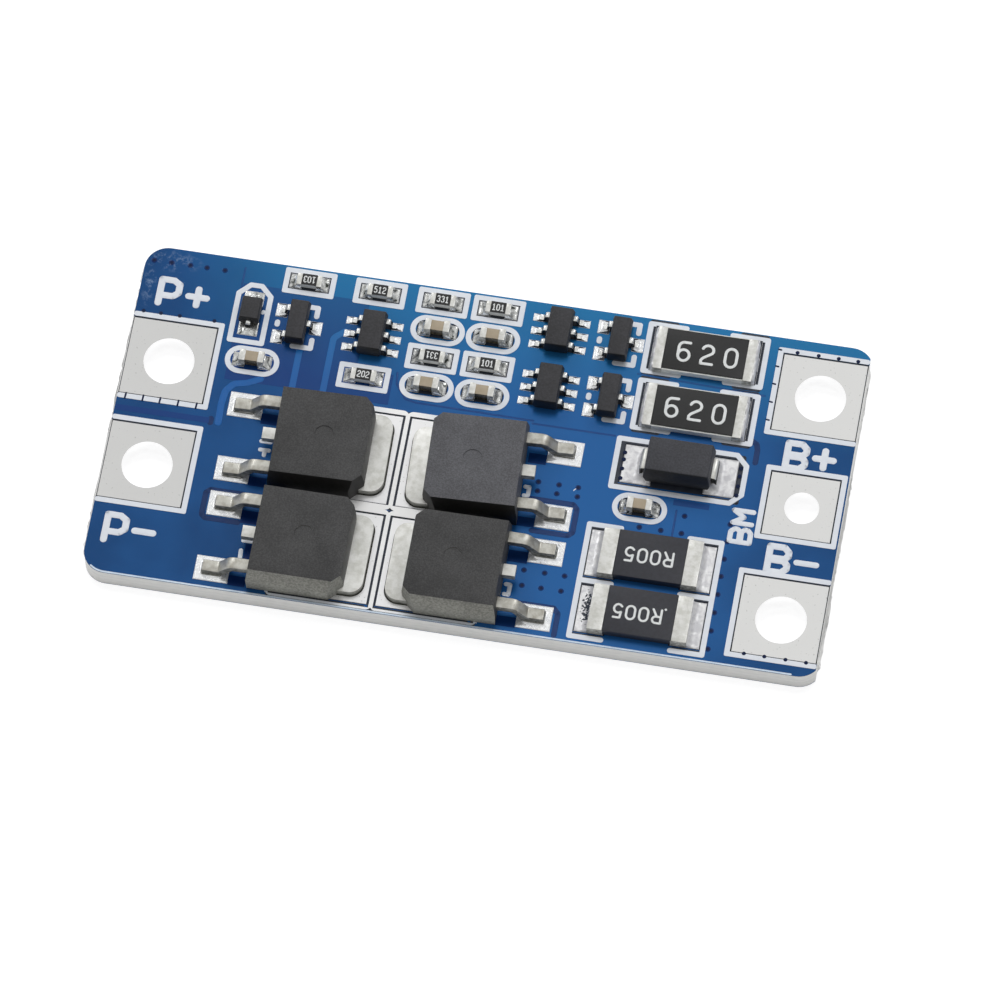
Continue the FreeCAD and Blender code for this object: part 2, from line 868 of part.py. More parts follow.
def power_frames():
    """Brackets round the bleed resistors, and one ladder of brackets round the two shunts."""
    frames = []
    reach = 2 * (power_land_reach + power_land / 2)
    for name, x, y in bleed_places():
        length = reach + 2 * bracket_gap + legend_line
        frames += bracket_pair(x, y, length, power_land_width + legend_line / 2, bracket_arm)
    reach = 2 * (shunt_land_reach + shunt_land / 2)
    length = reach + 2 * box_gap + legend_line
    ladders = [bracket_pair(x, y, length, shunt_row_pitch, shunt_arm) for name, x, y in shunt_places()]
    for upper, lower in zip(*ladders):
        frames.append(joined([upper, lower]))
    return frames


def diode_frames():
    """The small diode's frame is chamfered at its top, the rectifier's at its right."""
    cut = frame_chamfer
    x, y = small_diode_place()
    a = diode_land_width / 2 + diode_frame_side
    b = diode_land_reach + diode_land / 2 + diode_frame_end
    small = closed_stroke([(-a, -b), (a, -b), (a, b - cut), (a - cut, b), (cut - a, b), (-a, b - cut)])
    small = place(small, x, y)
    x, y = rectifier_place()
    a = rectifier_land_reach + rectifier_land / 2 + rectifier_frame_end
    b = rectifier_land_width / 2 + rectifier_frame_side
    large = closed_stroke([(-a, -b), (a - cut, -b), (a, cut - b), (a, b - cut), (a - cut, b), (-a, b)])
    return [small, place(large, x, y)]


def trio_marks():
    """Two corner marks on the single-lead side and a dot between the paired leads."""
    marks = []
    side = trio_body[0] / 2 + mark_gap
    end = trio_body[1] / 2
    for name, x, y in trio_places():
        top = [(side - mark_arm, end), (side, end), (side, end - mark_arm)]
        low = [(side - mark_long_arm, -end), (side, -end), (side, mark_arm - end)]
        dot = inked(Part.Face(rounded_outline(legend_line, 1.5 * legend_line, legend_line / 2)))
        marks += [place(stroke(points), x, y) for points in (top, low)]
        marks.append(place(dot, x - trio_land_reach - dot_gap, y))
    return marks


def mosfet_frames():
    """Four boxes of ink share their middle lines; where their round corners meet a diamond stays open."""
    reach = mosfet_column_reach + mosfet_frame_reach
    opening = drain_land_width + 2 * mask_clearance
    length = reach - drain_line / 2 - mosfet_frame_trim
    boxes = []
    for name, side, y in mosfet_stations():
        outer = rounded_outline(reach + drain_line / 2, mosfet_row_pitch, mosfet_frame_corner)
        box = ring(outer, rectangle(length, opening))
        boxes.append(place(box, mosfet_axis_x + side * reach / 2, y + mask_shift))
    top = board_thickness + legend_thickness
    printable = slab(2 * half_length, board_width - 2 * legend_edge_gap, board_thickness, top)
    return [joined(boxes).common(printable)]


def silkscreen_frames():
    solids = []
    frames = terminal_frames() + chip_frames() + power_frames() + diode_frames()
    frames += trio_marks() + mosfet_frames()
    for frame in frames:
        solids += frame.Solids
    return group(solids)


# Assembly

def build():
    lands = all_lands()
    terminal_windows = [(x, y, land, land) for name, x, y, land, hole in terminals()]
    parts = {
        "board_laminate": board_laminate(),
        "solder_mask_top": solder_mask(core_top, board_thickness, lands + terminal_windows),
        "solder_mask_bottom": solder_mask(0, core_bottom, terminal_windows),
        "component_lands": component_lands(),
        "silkscreen_frames": silkscreen_frames(),
        "small_chip_end_caps": small_end_caps(),
    }
    for name, x, y, land, hole in terminals():
        parts[name + "_terminal"] = terminal_pad(x, y, land, hole)
    for name, x, y, turn in mosfet_places():
        parts[name + "_body"] = place(mosfet_body(), x, y, turn, land_top)
        parts[name + "_drain_tab"] = place(mosfet_tab(), x, y, turn, land_top)
        parts[name + "_leads"] = place(mosfet_leads(), x, y, turn, land_top)
    for name, x, y in resistor_places():
        parts[name + "_body"] = place(chip_body(resistor_chip, resistor_cap), x, y, 0, land_top)
    for name, x, y in capacitor_places():
        parts[name + "_body"] = place(capacitor_body(), x, y, 0, land_top)
    for name, x, y in bleed_places():
        low = y - bleed_drop
        parts[name + "_body"] = place(chip_body(power_chip, power_cap, power_coat_margin), x, low, 0, land_top)
        parts[name + "_end_caps"] = place(group(end_caps(power_chip, power_cap)), x, low, 0, land_top)
    for name, x, y in shunt_places():
        parts[name + "_body"] = place(chip_body(shunt_chip, shunt_cap), x, y, 0, land_top)
        parts[name + "_end_caps"] = place(group(end_caps(shunt_chip, shunt_cap)), x, y, 0, land_top)
    for name, x, y in trio_places():
        parts[name + "_body"] = place(package_block(trio_body).cut(trio_leads()), x, y, 0, land_top)
        parts[name + "_leads"] = place(trio_leads(), x, y, 0, land_top)
    for name, x, y in six_places():
        parts[name + "_body"] = place(package_block(six_body).cut(six_leads()), x, y, 0, land_top)
        parts[name + "_leads"] = place(six_leads(), x, y, 0, land_top)
    x, y = small_diode_place()
    parts["small_diode_body"] = place(package_block(diode_body).cut(diode_leads()), x, y, 90, land_top)
    parts["small_diode_leads"] = place(diode_leads(), x, y, 90, land_top)
    x, y = rectifier_place()
    parts["rectifier_body"] = place(rectifier_block(), x, y, 0, land_top)
    parts["rectifier_leads"] = place(rectifier_leads(), x, y, 0, land_top)
    return parts


def main():
    os.makedirs("parts", exist_ok=True)
    parts = build()
    for name, shape in parts.items():
        shape.exportStep(os.path.join("parts", name + ".step"))
    whole = group(list(parts.values())).BoundBox
    sizes = [round(length, 2) for length in (whole.XLength, whole.YLength, whole.ZLength)]
    print("parts", len(parts), "size", sizes)
    print("middle", round(whole.Center.x, 3), round(whole.Center.y, 3), "lowest", round(whole.ZMin, 3))


main()
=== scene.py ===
# %% [markdown]
# # A battery management board
#
# The board protects and balances two lithium cells: a blue printed board with five wire
# terminals, four power transistors, and two rows of small chips. The solids come ready from the
# CAD model, so this lesson gives them their edges and finishes, and adds what is too fine for a
# solid: solder, printed letters, vias and the relief of the copper under the blue mask.

# %% Load the frame
import math

import bmesh
import bpy
import numpy as np
from mathutils import Matrix, Vector, noise


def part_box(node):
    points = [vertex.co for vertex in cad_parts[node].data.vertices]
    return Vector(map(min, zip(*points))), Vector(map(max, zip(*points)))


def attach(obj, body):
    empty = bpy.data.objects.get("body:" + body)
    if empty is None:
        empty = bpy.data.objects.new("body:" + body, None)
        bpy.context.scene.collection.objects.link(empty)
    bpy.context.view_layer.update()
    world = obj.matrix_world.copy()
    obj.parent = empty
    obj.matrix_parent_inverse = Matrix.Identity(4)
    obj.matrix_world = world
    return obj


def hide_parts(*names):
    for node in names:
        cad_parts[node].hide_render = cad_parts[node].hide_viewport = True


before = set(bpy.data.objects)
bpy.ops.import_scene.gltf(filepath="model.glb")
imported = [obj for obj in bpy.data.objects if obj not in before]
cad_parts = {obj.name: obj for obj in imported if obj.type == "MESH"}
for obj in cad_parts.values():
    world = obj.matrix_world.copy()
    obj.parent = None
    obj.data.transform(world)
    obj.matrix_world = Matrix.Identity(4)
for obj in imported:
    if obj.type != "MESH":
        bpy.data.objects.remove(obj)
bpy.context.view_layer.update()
mm = 0.001
print("nodes", len(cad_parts))

# %% [markdown]
# The layers of the board give every height here, so they are read off the CAD nodes once. The
# mask is the blue lacquer, the lands are the tinned copper that stands a little above it, and the
# legend is the white print.

# %% Heights of the layers
board_low, board_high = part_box("solder_mask_top")
core_top, mask_top = board_low.z, board_high.z
land_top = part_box("component_lands")[1].z
legend_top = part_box("silkscreen_frames")[1].z
print("mask, land, legend mm", [round(z / mm, 3) for z in (mask_top, land_top, legend_top)])


# %% [markdown]
# Colours are written as the sRGB codes that a paint program shows. The nodes work in linear
# light, so one function turns the code over. A second one adds a node: an input that is given
# another node is linked to that node's first output in use, and any other value is set on the
# socket. Every finish starts from the object's own coordinates and ends in one shader.

# %% Colours and nodes
def linear(code):
    """Turns an sRGB hex code into linear red, green, blue and alpha."""
    parts = [int(code[start:start + 2], 16) / 255 for start in (1, 3, 5)]
    light = [p / 12.92 if p <= 0.04045 else ((p + 0.055) / 1.055) ** 2.4 for p in parts]
    return (*light, 1.0)


def add(tree, kind, inputs=None, **properties):
    """Adds one node to a tree, with its properties, its values and its links."""
    made = tree.nodes.new(kind)
    for name, value in properties.items():
        setattr(made, name, value)
    for name, value in (inputs or {}).items():
        if isinstance(value, bpy.types.Node):
            value = next(socket for socket in value.outputs if socket.enabled)
        if isinstance(value, bpy.types.NodeSocket):
            tree.links.new(value, made.inputs[name])
        else:
            made.inputs[name].default_value = value
    return made


def start_finish(name):
    """An empty material, its tree, and the object's own coordinates in metres."""
    made = bpy.data.materials.new(name)
    made.use_nodes = True
    made.node_tree.nodes.clear()
    place = add(made.node_tree, "ShaderNodeTexCoord").outputs["Object"]
    return made, made.node_tree, place

def close_finish(tree, sockets, height=None, depth=0.0, strength=0.0):
    """Ends a finish in its shader; a height stands up as a bump this many millimetres deep."""
    if height is not None:
        bump = add(tree, "ShaderNodeBump", {
            "Height": height, "Distance": depth * mm, "Strength": strength})
        sockets["Normal"] = bump
    shader = add(tree, "ShaderNodeBsdfPrincipled", sockets)
    add(tree, "ShaderNodeOutputMaterial", {"Surface": shader})


def window(tree, place, middle, reach, core):
    """One within a share of an ellipse in millimetres, falling to nothing at its rim."""
    off = add(tree, "ShaderNodeVectorMath", {
        0: place, 1: Vector(middle) * mm}, operation="SUBTRACT")
    off = add(tree, "ShaderNodeVectorMath", {
        0: off, 1: Vector(reach) * mm}, operation="DIVIDE")
    off = add(tree, "ShaderNodeVectorMath", {0: off}, operation="LENGTH")
    return add(tree, "ShaderNodeMapRange", {
        "Value": off, "From Min": core, "From Max": 1.0,
        "To Min": 1.0, "To Max": 0.0})


def grain(size):
    """The scale that makes a noise's lumps about this many millimetres wide."""
    return 1 / (size * mm)


# In a Mix node that blends colours the factor is input 0 and the colours are 6 and 7.
FACTOR, FIRST, SECOND = 0, 6, 7


# %% [markdown]
# ## The camera
#
# The photograph was taken from far off with a long lens, looking down on the board from its front
# edge and turned a little. The lens is long enough that the board's sides stay almost parallel.
# The camera's place and its own right-hand and backward directions were fitted to the board's
# outline and its five holes, and are kept as plain vectors.

# %% Camera
def stand(name, data):
    """Puts an object into the scene."""
    made = bpy.data.objects.new(name, data)
    bpy.context.scene.collection.objects.link(made)
    return made


camera_place = Vector((58.133, -258.897, 546.688)) * mm
camera_right = Vector((0.98487, 0.17203, -0.02069)).normalized()
camera_back = Vector((0.09293, -0.42365, 0.90105)).normalized()

lens = bpy.data.cameras.new("long_lens")
lens.sensor_width = 36.0
lens.lens = 344.68
lens.clip_start = 0.01
lens.clip_end = 50
camera = stand("camera", lens)
turn = Matrix((camera_right, camera_back.cross(camera_right), camera_back)).transposed()
camera.matrix_world = Matrix.Translation(camera_place) @ turn.to_4x4()
bpy.context.scene.camera = camera
print("camera distance mm", round(camera_place.length / mm))

# %% [markdown]
# ## Studio light
#
# The board was shot under a broad soft light from above and a little behind, on white paper that
# throws some of it back at the board's own edges. So the world is brightest high up at the back
# and falls off to the front: level metal mirrors it as a calm light grey, and the fronts of the
# small packages stay dark. Metal mirrors that tent at full strength. Plain surfaces get an even
# and weaker share of it, because the rest of their light comes from a key lamp high up behind.
# The key lays the deep short shadows to the front, and is kept out of reflections, where it would
# burn the metal out. Two soft lamps at the sides give the solder its sparkle. Together they light
# a level surface at about strength one, so a colour renders about as it is written.

# %% World and lamps
world = bpy.data.worlds.new("light_tent")
bpy.context.scene.world = world
world.use_nodes = True
tree = world.node_tree
tree.nodes.clear()
direction = add(tree, "ShaderNodeTexCoord").outputs["Generated"]
brightest_way = (-0.1, 0.42, 0.90)
towards_back = add(tree, "ShaderNodeVectorMath", {
    0: direction, 1: brightest_way}, operation="DOT_PRODUCT")
mirrored = add(tree, "ShaderNodeMapRange", {
    "Value": towards_back, "From Min": -0.35, "From Max": 1.0,
    "To Min": 0.14, "To Max": 0.87})
by_mirror = add(tree, "ShaderNodeLightPath").outputs["Is Glossy Ray"]
plain_share = 0.35
strength = add(tree, "ShaderNodeMix", {0: by_mirror, 2: plain_share, 3: mirrored})
tent = add(tree, "ShaderNodeBackground", {
    "Color": linear("#fefefc"), "Strength": strength})
add(tree, "ShaderNodeOutputWorld", {"Surface": tent})


def softbox(name, place, size, watts):
    """A square lamp that looks at the middle of the board."""
    lamp = bpy.data.lights.new(name, "AREA")
    lamp.shape = "SQUARE"
    lamp.size = size
    lamp.energy = watts
    made = stand(name, lamp)
    made.location = place
    made.rotation_euler = Vector(place).to_track_quat("Z", "Y").to_euler()
    return made


key = softbox("key_softbox", (-0.06, 0.36, 0.93), 0.36, 4.4)
key.visible_glossy = False
softbox("left_back_softbox", (-0.58, 0.60, 0.66), 0.3, 1.2)
softbox("right_back_softbox", (0.48, 0.62, 0.68), 0.3, 1.1)
bpy.context.scene.view_settings.view_transform = "Standard"

# %% [markdown]
# The floor is white paper. To the camera, and in the reflections on metal, it shows as pure white
# with the board's soft shadow, and for all other light it is plain white paper, so it never adds
# more light than paper would.

# %% Floor
floor_reach = 3.0
floor_drop = 0.02 * mm
floor_mesh = bpy.data.meshes.new("paper_floor")
floor_mesh.from_pydata([
    (x * floor_reach, y * floor_reach, -floor_drop)
    for x, y in ((-1, -1), (1, -1), (1, 1), (-1, 1))], [], [(0, 1, 2, 3)])
floor = stand("paper_floor", floor_mesh)
paper, tree, place = start_finish("white_paper")
sheet = add(tree, "ShaderNodeBsdfDiffuse", {"Color": linear("#f0f0f0")})
dim_sheet = add(tree, "ShaderNodeBsdfDiffuse", {"Color": linear("#9b9b9d")})
glow = add(tree, "ShaderNodeEmission", {"Color": (1, 1, 1, 1), "Strength": 0.84})
shown = add(tree, "ShaderNodeAddShader", {0: dim_sheet, 1: glow})
path = add(tree, "ShaderNodeLightPath")
seen = add(tree, "ShaderNodeMath", {
    0: path.outputs["Is Camera Ray"], 1: path.outputs["Is Glossy Ray"]}, operation="MAXIMUM")
seen = add(tree, "ShaderNodeMath", {
    0: seen, 1: path.outputs["Is Transmission Ray"]}, operation="MAXIMUM")
shown_or_sheet = add(tree, "ShaderNodeMixShader", {
    0: seen, 1: sheet, 2: shown})
add(tree, "ShaderNodeOutputMaterial", {"Surface": shown_or_sheet})
floor_mesh.materials.append(paper)


# %% [markdown]
# ## Finishes
#
# Solder mask is a blue epoxy lacquer, sprayed and baked. It is thin enough to show what lies
# under it: over copper it is a clear mid blue, over bare laminate a duller navy. It is semi-gloss
# with a faint orange peel. One function makes all the blues, so they age and shine alike. A
# lighter teal along the far edge comes from its y coordinate, and is a painted sheen that
# stands in for the light reflected there. Round the first vias and down the left edge it is
# scuffed from handling.

# %% Solder mask
def solder_mask(name, west_code, east_code, painted_sheen_code="#2377ab"):
    """Blue lacquer, deeper at the left end and with a painted sheen along the far edge of the
    board.
    """
    made, tree, place = start_finish(name)
    along = add(tree, "ShaderNodeSeparateXYZ", {0: place})
    cloud = add(tree, "ShaderNodeTexNoise", {"Vector": place, "Scale": grain(5.0), "Detail": 3.0})
    drift = add(tree, "ShaderNodeMapRange", {
        "Value": cloud, "From Min": 0.3, "From Max": 0.7, "To Min": -0.25, "To Max": 0.25})
    east = add(tree, "ShaderNodeMapRange", {
        "Value": along.outputs["X"], "From Min": -23.0 * mm, "From Max": 3.0 * mm})
    share = add(tree, "ShaderNodeMath", {0: east, 1: drift}, operation="ADD")
    far_east = add(tree, "ShaderNodeMapRange", {
        "Value": along.outputs["X"], "From Min": 12.0 * mm, "From Max": 20.0 * mm, "To Max": 0.8})
    share = add(tree, "ShaderNodeMath", {
        0: share, 1: far_east}, operation="SUBTRACT", use_clamp=True)
    blue = add(tree, "ShaderNodeMix", {
        FACTOR: share, FIRST: linear(west_code), SECOND: linear(east_code)},
        data_type="RGBA")
    far = add(tree, "ShaderNodeMapRange", {
        "Value": along.outputs["Y"], "From Min": 4.0 * mm, "From Max": 11.5 * mm})
    inboard = add(tree, "ShaderNodeMapRange", {
        "Value": along.outputs["X"], "From Min": -21.0 * mm, "From Max": -12.0 * mm,
        "To Min": 0.0, "To Max": 0.85})
    sheen = add(tree, "ShaderNodeMath", {0: far, 1: inboard}, operation="MULTIPLY")
    # Painted sheen: a lighter teal is mixed in along the far edge.
    blue_with_painted_sheen = add(tree, "ShaderNodeMix", {
        FACTOR: sheen, FIRST: blue, SECOND: linear(painted_sheen_code)},
        data_type="RGBA")
    rub = add(tree, "ShaderNodeTexNoise", {
        "Vector": place, "Scale": grain(0.45), "Detail": 4.0, "Roughness": 0.7})
    worn = add(tree, "ShaderNodeMapRange", {
        "Value": rub, "From Min": 0.5, "From Max": 0.68, "To Max": 0.55})
    for middle, reach in scuffs:
        near = window(tree, place, middle, reach, 0.3)
        amount = add(tree, "ShaderNodeMath", {0: near, 1: worn}, operation="MULTIPLY")
        blue_with_painted_sheen = add(tree, "ShaderNodeMix", {
            FACTOR: amount, FIRST: blue_with_painted_sheen, SECOND: linear("#8fa6c4")},
            data_type="RGBA")
    peel = add(tree, "ShaderNodeTexNoise", {"Vector": place, "Scale": grain(0.5), "Detail": 1.0})
    gloss = add(tree, "ShaderNodeMapRange", {
        "Value": cloud, "To Min": 0.16, "To Max": 0.3})
    close_finish(tree, {
        "Base Color": blue_with_painted_sheen, "Roughness": gloss,
        "Specular IOR Level": 0.2}, peel, 0.004, 0.5)
    return made


scuffs = (((-21.7, 10.75, 1.6), (2.1, 0.9, 1.0)), ((-22.85, 9.0, 1.6), (0.5, 2.0, 1.0)))
mask_over_copper = solder_mask("solder_mask_over_copper", "#0d4379", "#2460a0")
mask_over_laminate = solder_mask("solder_mask_over_laminate", "#163c7a", "#1e4884", "#1f5f94")
mask_over_moat = solder_mask("solder_mask_over_moat", "#18305c", "#1f3a6c", "#21588a")
deep_lacquer_and_painted_shadow = solder_mask("solder_mask_deep_navy_and_painted_shadow", "#06255c", "#0e3268", "#16507e")
mask_over_trace = solder_mask("solder_mask_over_trace", "#1f5ea4", "#2861a2", "#2a78b0")

# %% [markdown]
# The laminate is woven glass in epoxy, seen on its cut edges as a pale, faintly layered cream.
# The layers are the glass plies, drawn with a wave along Z as coarse as they need to show, and
# saw marks run through them as fine noise.

# %% Glass-epoxy laminate
laminate, tree, place = start_finish("glass_epoxy_laminate")
plies = add(tree, "ShaderNodeTexWave", {
    "Vector": place, "Scale": grain(1.3), "Distortion": 3.0, "Detail": 2.0, "Detail Scale": 2.0},
    bands_direction="Z")
saw = add(tree, "ShaderNodeTexNoise", {"Vector": place, "Scale": grain(0.35), "Detail": 5.0})
sawn_plies = add(tree, "ShaderNodeMath", {
    0: plies.outputs["Fac"], 1: saw}, operation="MULTIPLY")
cream = add(tree, "ShaderNodeMix", {
    FACTOR: sawn_plies, FIRST: linear("#fdfdfc"), SECOND: linear("#f0f1f1")},
    data_type="RGBA")
close_finish(tree, {
    "Base Color": cream, "Roughness": 0.6}, saw, 0.02, 0.6)


# %% [markdown]
# Many finishes are two close colours that drift into each other in lumps of a known size: a
# stain, a fired ceramic, a printed ink. One function makes them all. The first is for the gaps
# beside the lands, where the mask is left open and the bare board lies deep between two edges. It
# is drawn almost black, which is flux stain and painted shade of that narrow recess. Further on it
# also serves as painted shade under some parts.

# %% Mottled finishes
def mottled(name, lump, codes, roughness, detail=3.0, specular=0.5, depth=0.0):
    """A finish that drifts between two colours; lump and depth in millimetres."""
    made, tree, place = start_finish(name)
    lumps = add(tree, "ShaderNodeTexNoise", {
        "Vector": place, "Scale": grain(lump), "Detail": detail})
    colour = add(tree, "ShaderNodeMix", {
        FACTOR: lumps, FIRST: linear(codes[0]), SECOND: linear(codes[1])}, data_type="RGBA")
    close_finish(tree, {
        "Base Color": colour, "Roughness": roughness,
        "Specular IOR Level": specular}, lumps if depth else None, depth, 0.4)
    return made


# Almost black: flux stain and painted shade.
flux_and_shade_dark = mottled("flux_and_painted_shade_gap", 0.4, ("#1d2230", "#343a45"), 0.5, detail=2.0)

# %% [markdown]
# The terminals are hot-air-levelled tin: dipped in solder and blown flat, so they are an even
# light grey metal with faint flow clouds and a few specks.

# %% Levelled tin
def levelled_tin(name, west_code, east_code, metal):
    """Tin blown flat by hot air, a little brighter towards the right end of the board."""
    made, tree, place = start_finish(name)
    flow = add(tree, "ShaderNodeTexNoise", {"Vector": place, "Scale": grain(1.6), "Detail": 2.0})
    specks = add(tree, "ShaderNodeTexNoise", {"Vector": place, "Scale": grain(0.16), "Detail": 1.0})
    speck = add(tree, "ShaderNodeMapRange", {
        "Value": specks, "From Min": 0.70, "From Max": 0.76, "To Min": 0.0, "To Max": 0.5})
    along = add(tree, "ShaderNodeSeparateXYZ", {0: place})
    east = add(tree, "ShaderNodeMapRange", {
        "Value": along.outputs["X"], "From Min": -18.0 * mm, "From Max": -4.0 * mm})
    clear = add(tree, "ShaderNodeMix", {
        FACTOR: east, FIRST: linear(west_code), SECOND: linear(east_code)},
        data_type="RGBA")
    speckled = add(tree, "ShaderNodeMix", {
        FACTOR: speck, FIRST: clear, SECOND: linear("#a9a9a8")},
        data_type="RGBA")
    rough = add(tree, "ShaderNodeMapRange", {
        "Value": flow, "To Min": 0.32, "To Max": 0.42})
    close_finish(tree, {
        "Base Color": speckled, "Metallic": metal,
        "Roughness": rough}, flow, 0.01, 0.5)
    return made


terminal_tin = levelled_tin("levelled_tin_terminal", "#d6d6d6", "#e4e4e4", 1.0)
land_tin = levelled_tin("levelled_tin_land", "#f0f0f2", "#f4f4f6", 0.6)

# %% [markdown]
# Reflowed solder is the same metal, but it froze as it flowed: bright where it is smooth, with
# grey frosted patches and flux-stained spots. The mottling makes a small joint read as metal.

# %% Reflowed solder
def reflowed_solder(name, bright_code, dull_code, stain_from, metal, lump, smooth=0.14):
    """Solder that froze in patches; stain_from is how rare the flux stains are."""
    made, tree, place = start_finish(name)
    frost = add(tree, "ShaderNodeTexNoise", {
        "Vector": place, "Scale": grain(0.42), "Detail": 3.0, "Distortion": 0.8})
    patch = add(tree, "ShaderNodeMapRange", {
        "Value": frost, "From Min": 0.4, "From Max": 0.62})
    silver = add(tree, "ShaderNodeMix", {
        FACTOR: patch, FIRST: linear(bright_code), SECOND: linear(dull_code)},
        data_type="RGBA")
    spots = add(tree, "ShaderNodeMapRange", {
        "Value": frost, "From Min": stain_from, "From Max": stain_from + 0.08})
    stained = add(tree, "ShaderNodeMix", {
        FACTOR: spots, FIRST: silver, SECOND: linear("#30342f")},
        data_type="RGBA")
    rough = add(tree, "ShaderNodeMapRange", {
        "Value": patch, "To Min": smooth, "To Max": smooth + 0.2})
    close_finish(tree, {
        "Base Color": stained, "Metallic": metal,
        "Roughness": rough}, frost, lump, 0.7)
    return made


chip_solder = reflowed_solder("reflowed_solder_mottled", "#f2f3f2", "#9ea09f", 0.6, 0.75, 0.04)
broad_solder = reflowed_solder(
    "reflowed_solder_smooth", "#e6e6e8", "#d0d0d4", 0.72, 0.6, 0.003, smooth=0.34)
lead_solder = reflowed_solder("reflowed_solder_bright", "#f8f9fa", "#e2e4e8", 0.72, 0.5, 0.02)

# %% [markdown]
# Leads, drain tabs and end caps are plated with matte tin. Each is a soft grey metal with its own
# tint and blotches the size of the plating's crystals and handling marks. One function makes them,
# because only the tint and the size of the blotches differ.

# %% Plated tin
def plated_tin(name, bright_code, dull_code, blotch, roughness, metal=1.0):
    """Matte tin plate over copper, blotched between two greys."""
    made, tree, place = start_finish(name)
    marks = add(tree, "ShaderNodeTexNoise", {
        "Vector": place, "Scale": grain(blotch), "Detail": 4.0, "Roughness": 0.6})
    spread = add(tree, "ShaderNodeMapRange", {
        "Value": marks, "From Min": 0.38, "From Max": 0.66})
    grey = add(tree, "ShaderNodeMix", {
        FACTOR: spread, FIRST: linear(bright_code), SECOND: linear(dull_code)},
        data_type="RGBA")
    close_finish(tree, {
        "Base Color": grey, "Metallic": metal,
        "Roughness": roughness}, marks, 0.02, 0.6)
    return made


tinned_leadframe = plated_tin("matte_tin_leadframe", "#cfcec8", "#aaa79e", 0.5, 0.42)
# The edge finishes are darker copies of the tin: the real cut edge, and painted shade on steep
# legs, round the feet and round the tabs.
lead_edge_and_shade = plated_tin("sheared_lead_edge", "#8f8f8a", "#5c5c58", 0.25, 0.45, metal=0.5)
tinned_tab = plated_tin("matte_tin_tab", "#e2e2e0", "#cacac5", 0.5, 0.38)
tab_edge_and_shade = plated_tin("sheared_tab_edge", "#b4b4ae", "#8f8f89", 0.4, 0.45, metal=0.5)
sheared_edge_and_shade = plated_tin("sheared_copper_edge_and_shade", "#4b4b48", "#2b2b29", 0.25, 0.45)
folded_strap = plated_tin("matte_tin_strap", "#e8e8e4", "#cfcfca", 0.6, 0.42)
bright_lead = plated_tin("bright_tin_lead", "#f2f3f2", "#cfd0d0", 0.3, 0.26)
chip_cap = plated_tin("plated_end_cap", "#e4e4e2", "#cecec9", 0.35, 0.35)
# The fronts of the end caps are the same tin drawn duller and darker: painted shade.
painted_shade_cap_front = plated_tin("plated_end_cap_front", "#d2d2cc", "#8f8f89", 0.3, 0.5, metal=0.2)
# Pure white tin for the walls of the holes: painted light.
painted_light_bore = plated_tin("bright_tin_bore", "#ffffff", "#fafafa", 0.8, 0.12)


# %% [markdown]
# The packages are moulded from black epoxy filled with fused silica, ground and sifted. The mould
# was spark-eroded, so the surface is matte and grainy, and the silica shows as pale and dark
# specks. The true grain is some 0.03 mm, drawn three times as coarse so that it shows.

# %% Mould compound
def mould_compound(name, code, pale_code, speck):
    """Black filled epoxy with its grain and specks."""
    made, tree, place = start_finish(name)
    fine = add(tree, "ShaderNodeTexNoise", {"Vector": place, "Scale": grain(speck), "Detail": 2.0})
    broad = add(tree, "ShaderNodeTexNoise", {"Vector": place, "Scale": grain(1.8), "Detail": 3.0})
    broad_share = add(tree, "ShaderNodeMapRange", {
        "Value": broad, "From Min": 0.3, "From Max": 0.75, "To Max": 0.4})
    fine_share = add(tree, "ShaderNodeMapRange", {
        "Value": fine, "From Min": 0.32, "From Max": 0.7,
        "To Min": -0.25, "To Max": 0.55})
    share = add(tree, "ShaderNodeMath", {
        0: broad_share, 1: fine_share}, operation="ADD", use_clamp=True)
    black = add(tree, "ShaderNodeMix", {
        FACTOR: share, FIRST: linear(code), SECOND: linear(pale_code)},
        data_type="RGBA")
    close_finish(tree, {
        "Base Color": black, "Roughness": 0.55}, fine, 0.02, 0.5)
    return made


power_mould = mould_compound("power_mould_compound", "#2d2d2e", "#49494a", 0.09)
pale_mould = mould_compound("power_mould_compound_pale", "#48484c", "#64656a", 0.09)
# Painted light and painted shade: a pale front for the lower transistors, a black front for the
# upper ones and the small packages.
painted_light_front_mould = mould_compound("power_mould_front_painted_light", "#74746e", "#a8a8a0", 0.14)
painted_shade_front_mould = mould_compound("power_mould_front_painted_shade", "#141312", "#1f1d1b", 0.14)
small_mould = mould_compound("small_mould_compound", "#232326", "#35353a", 0.12)
rectifier_mould = mould_compound("rectifier_mould_compound", "#2b2c31", "#404148", 0.12)

# %% [markdown]
# A chip resistor is a slip of white alumina with the resistor on top under a black glass or epoxy
# overcoat. A capacitor's ceramic is tan and waxy, and its front side is drawn dark brown, which is
# painted shade.

# %% Ceramics and overcoat
alumina = mottled("white_alumina", 0.25, ("#f1f1ee", "#cfd1cd"), 0.5)
overcoat = mottled("black_resistor_overcoat", 0.2, ("#121213", "#1f1f21"), 0.45, depth=0.008)
shunt_coat = mottled("black_shunt_moulding", 0.2, ("#1e1f24", "#30313a"), 0.45, depth=0.008)
tan_ceramic = mottled("tan_capacitor_ceramic", 0.5, ("#b3a591", "#958974"), 0.4)
painted_shade_capacitor_front = mottled("flux_browned_ceramic", 0.2, ("#1b1812", "#6b6048"), 0.25)

# %% [markdown]
# The legend is white epoxy ink, screen printed. It is matte, slightly uneven, and a trace of the
# blue shows through where it is thin. Between the power transistors it is drawn pure white. This
# is painted light that makes up for the shade of their tall bodies.

# %% Printed inks
legend_ink, tree, place = start_finish("white_legend_ink")
thin = add(tree, "ShaderNodeTexNoise", {"Vector": place, "Scale": grain(0.45), "Detail": 4.0})
ink = add(tree, "ShaderNodeMix", {
    FACTOR: thin, FIRST: linear("#eceff5"), SECOND: linear("#dae0ea")},
    data_type="RGBA")
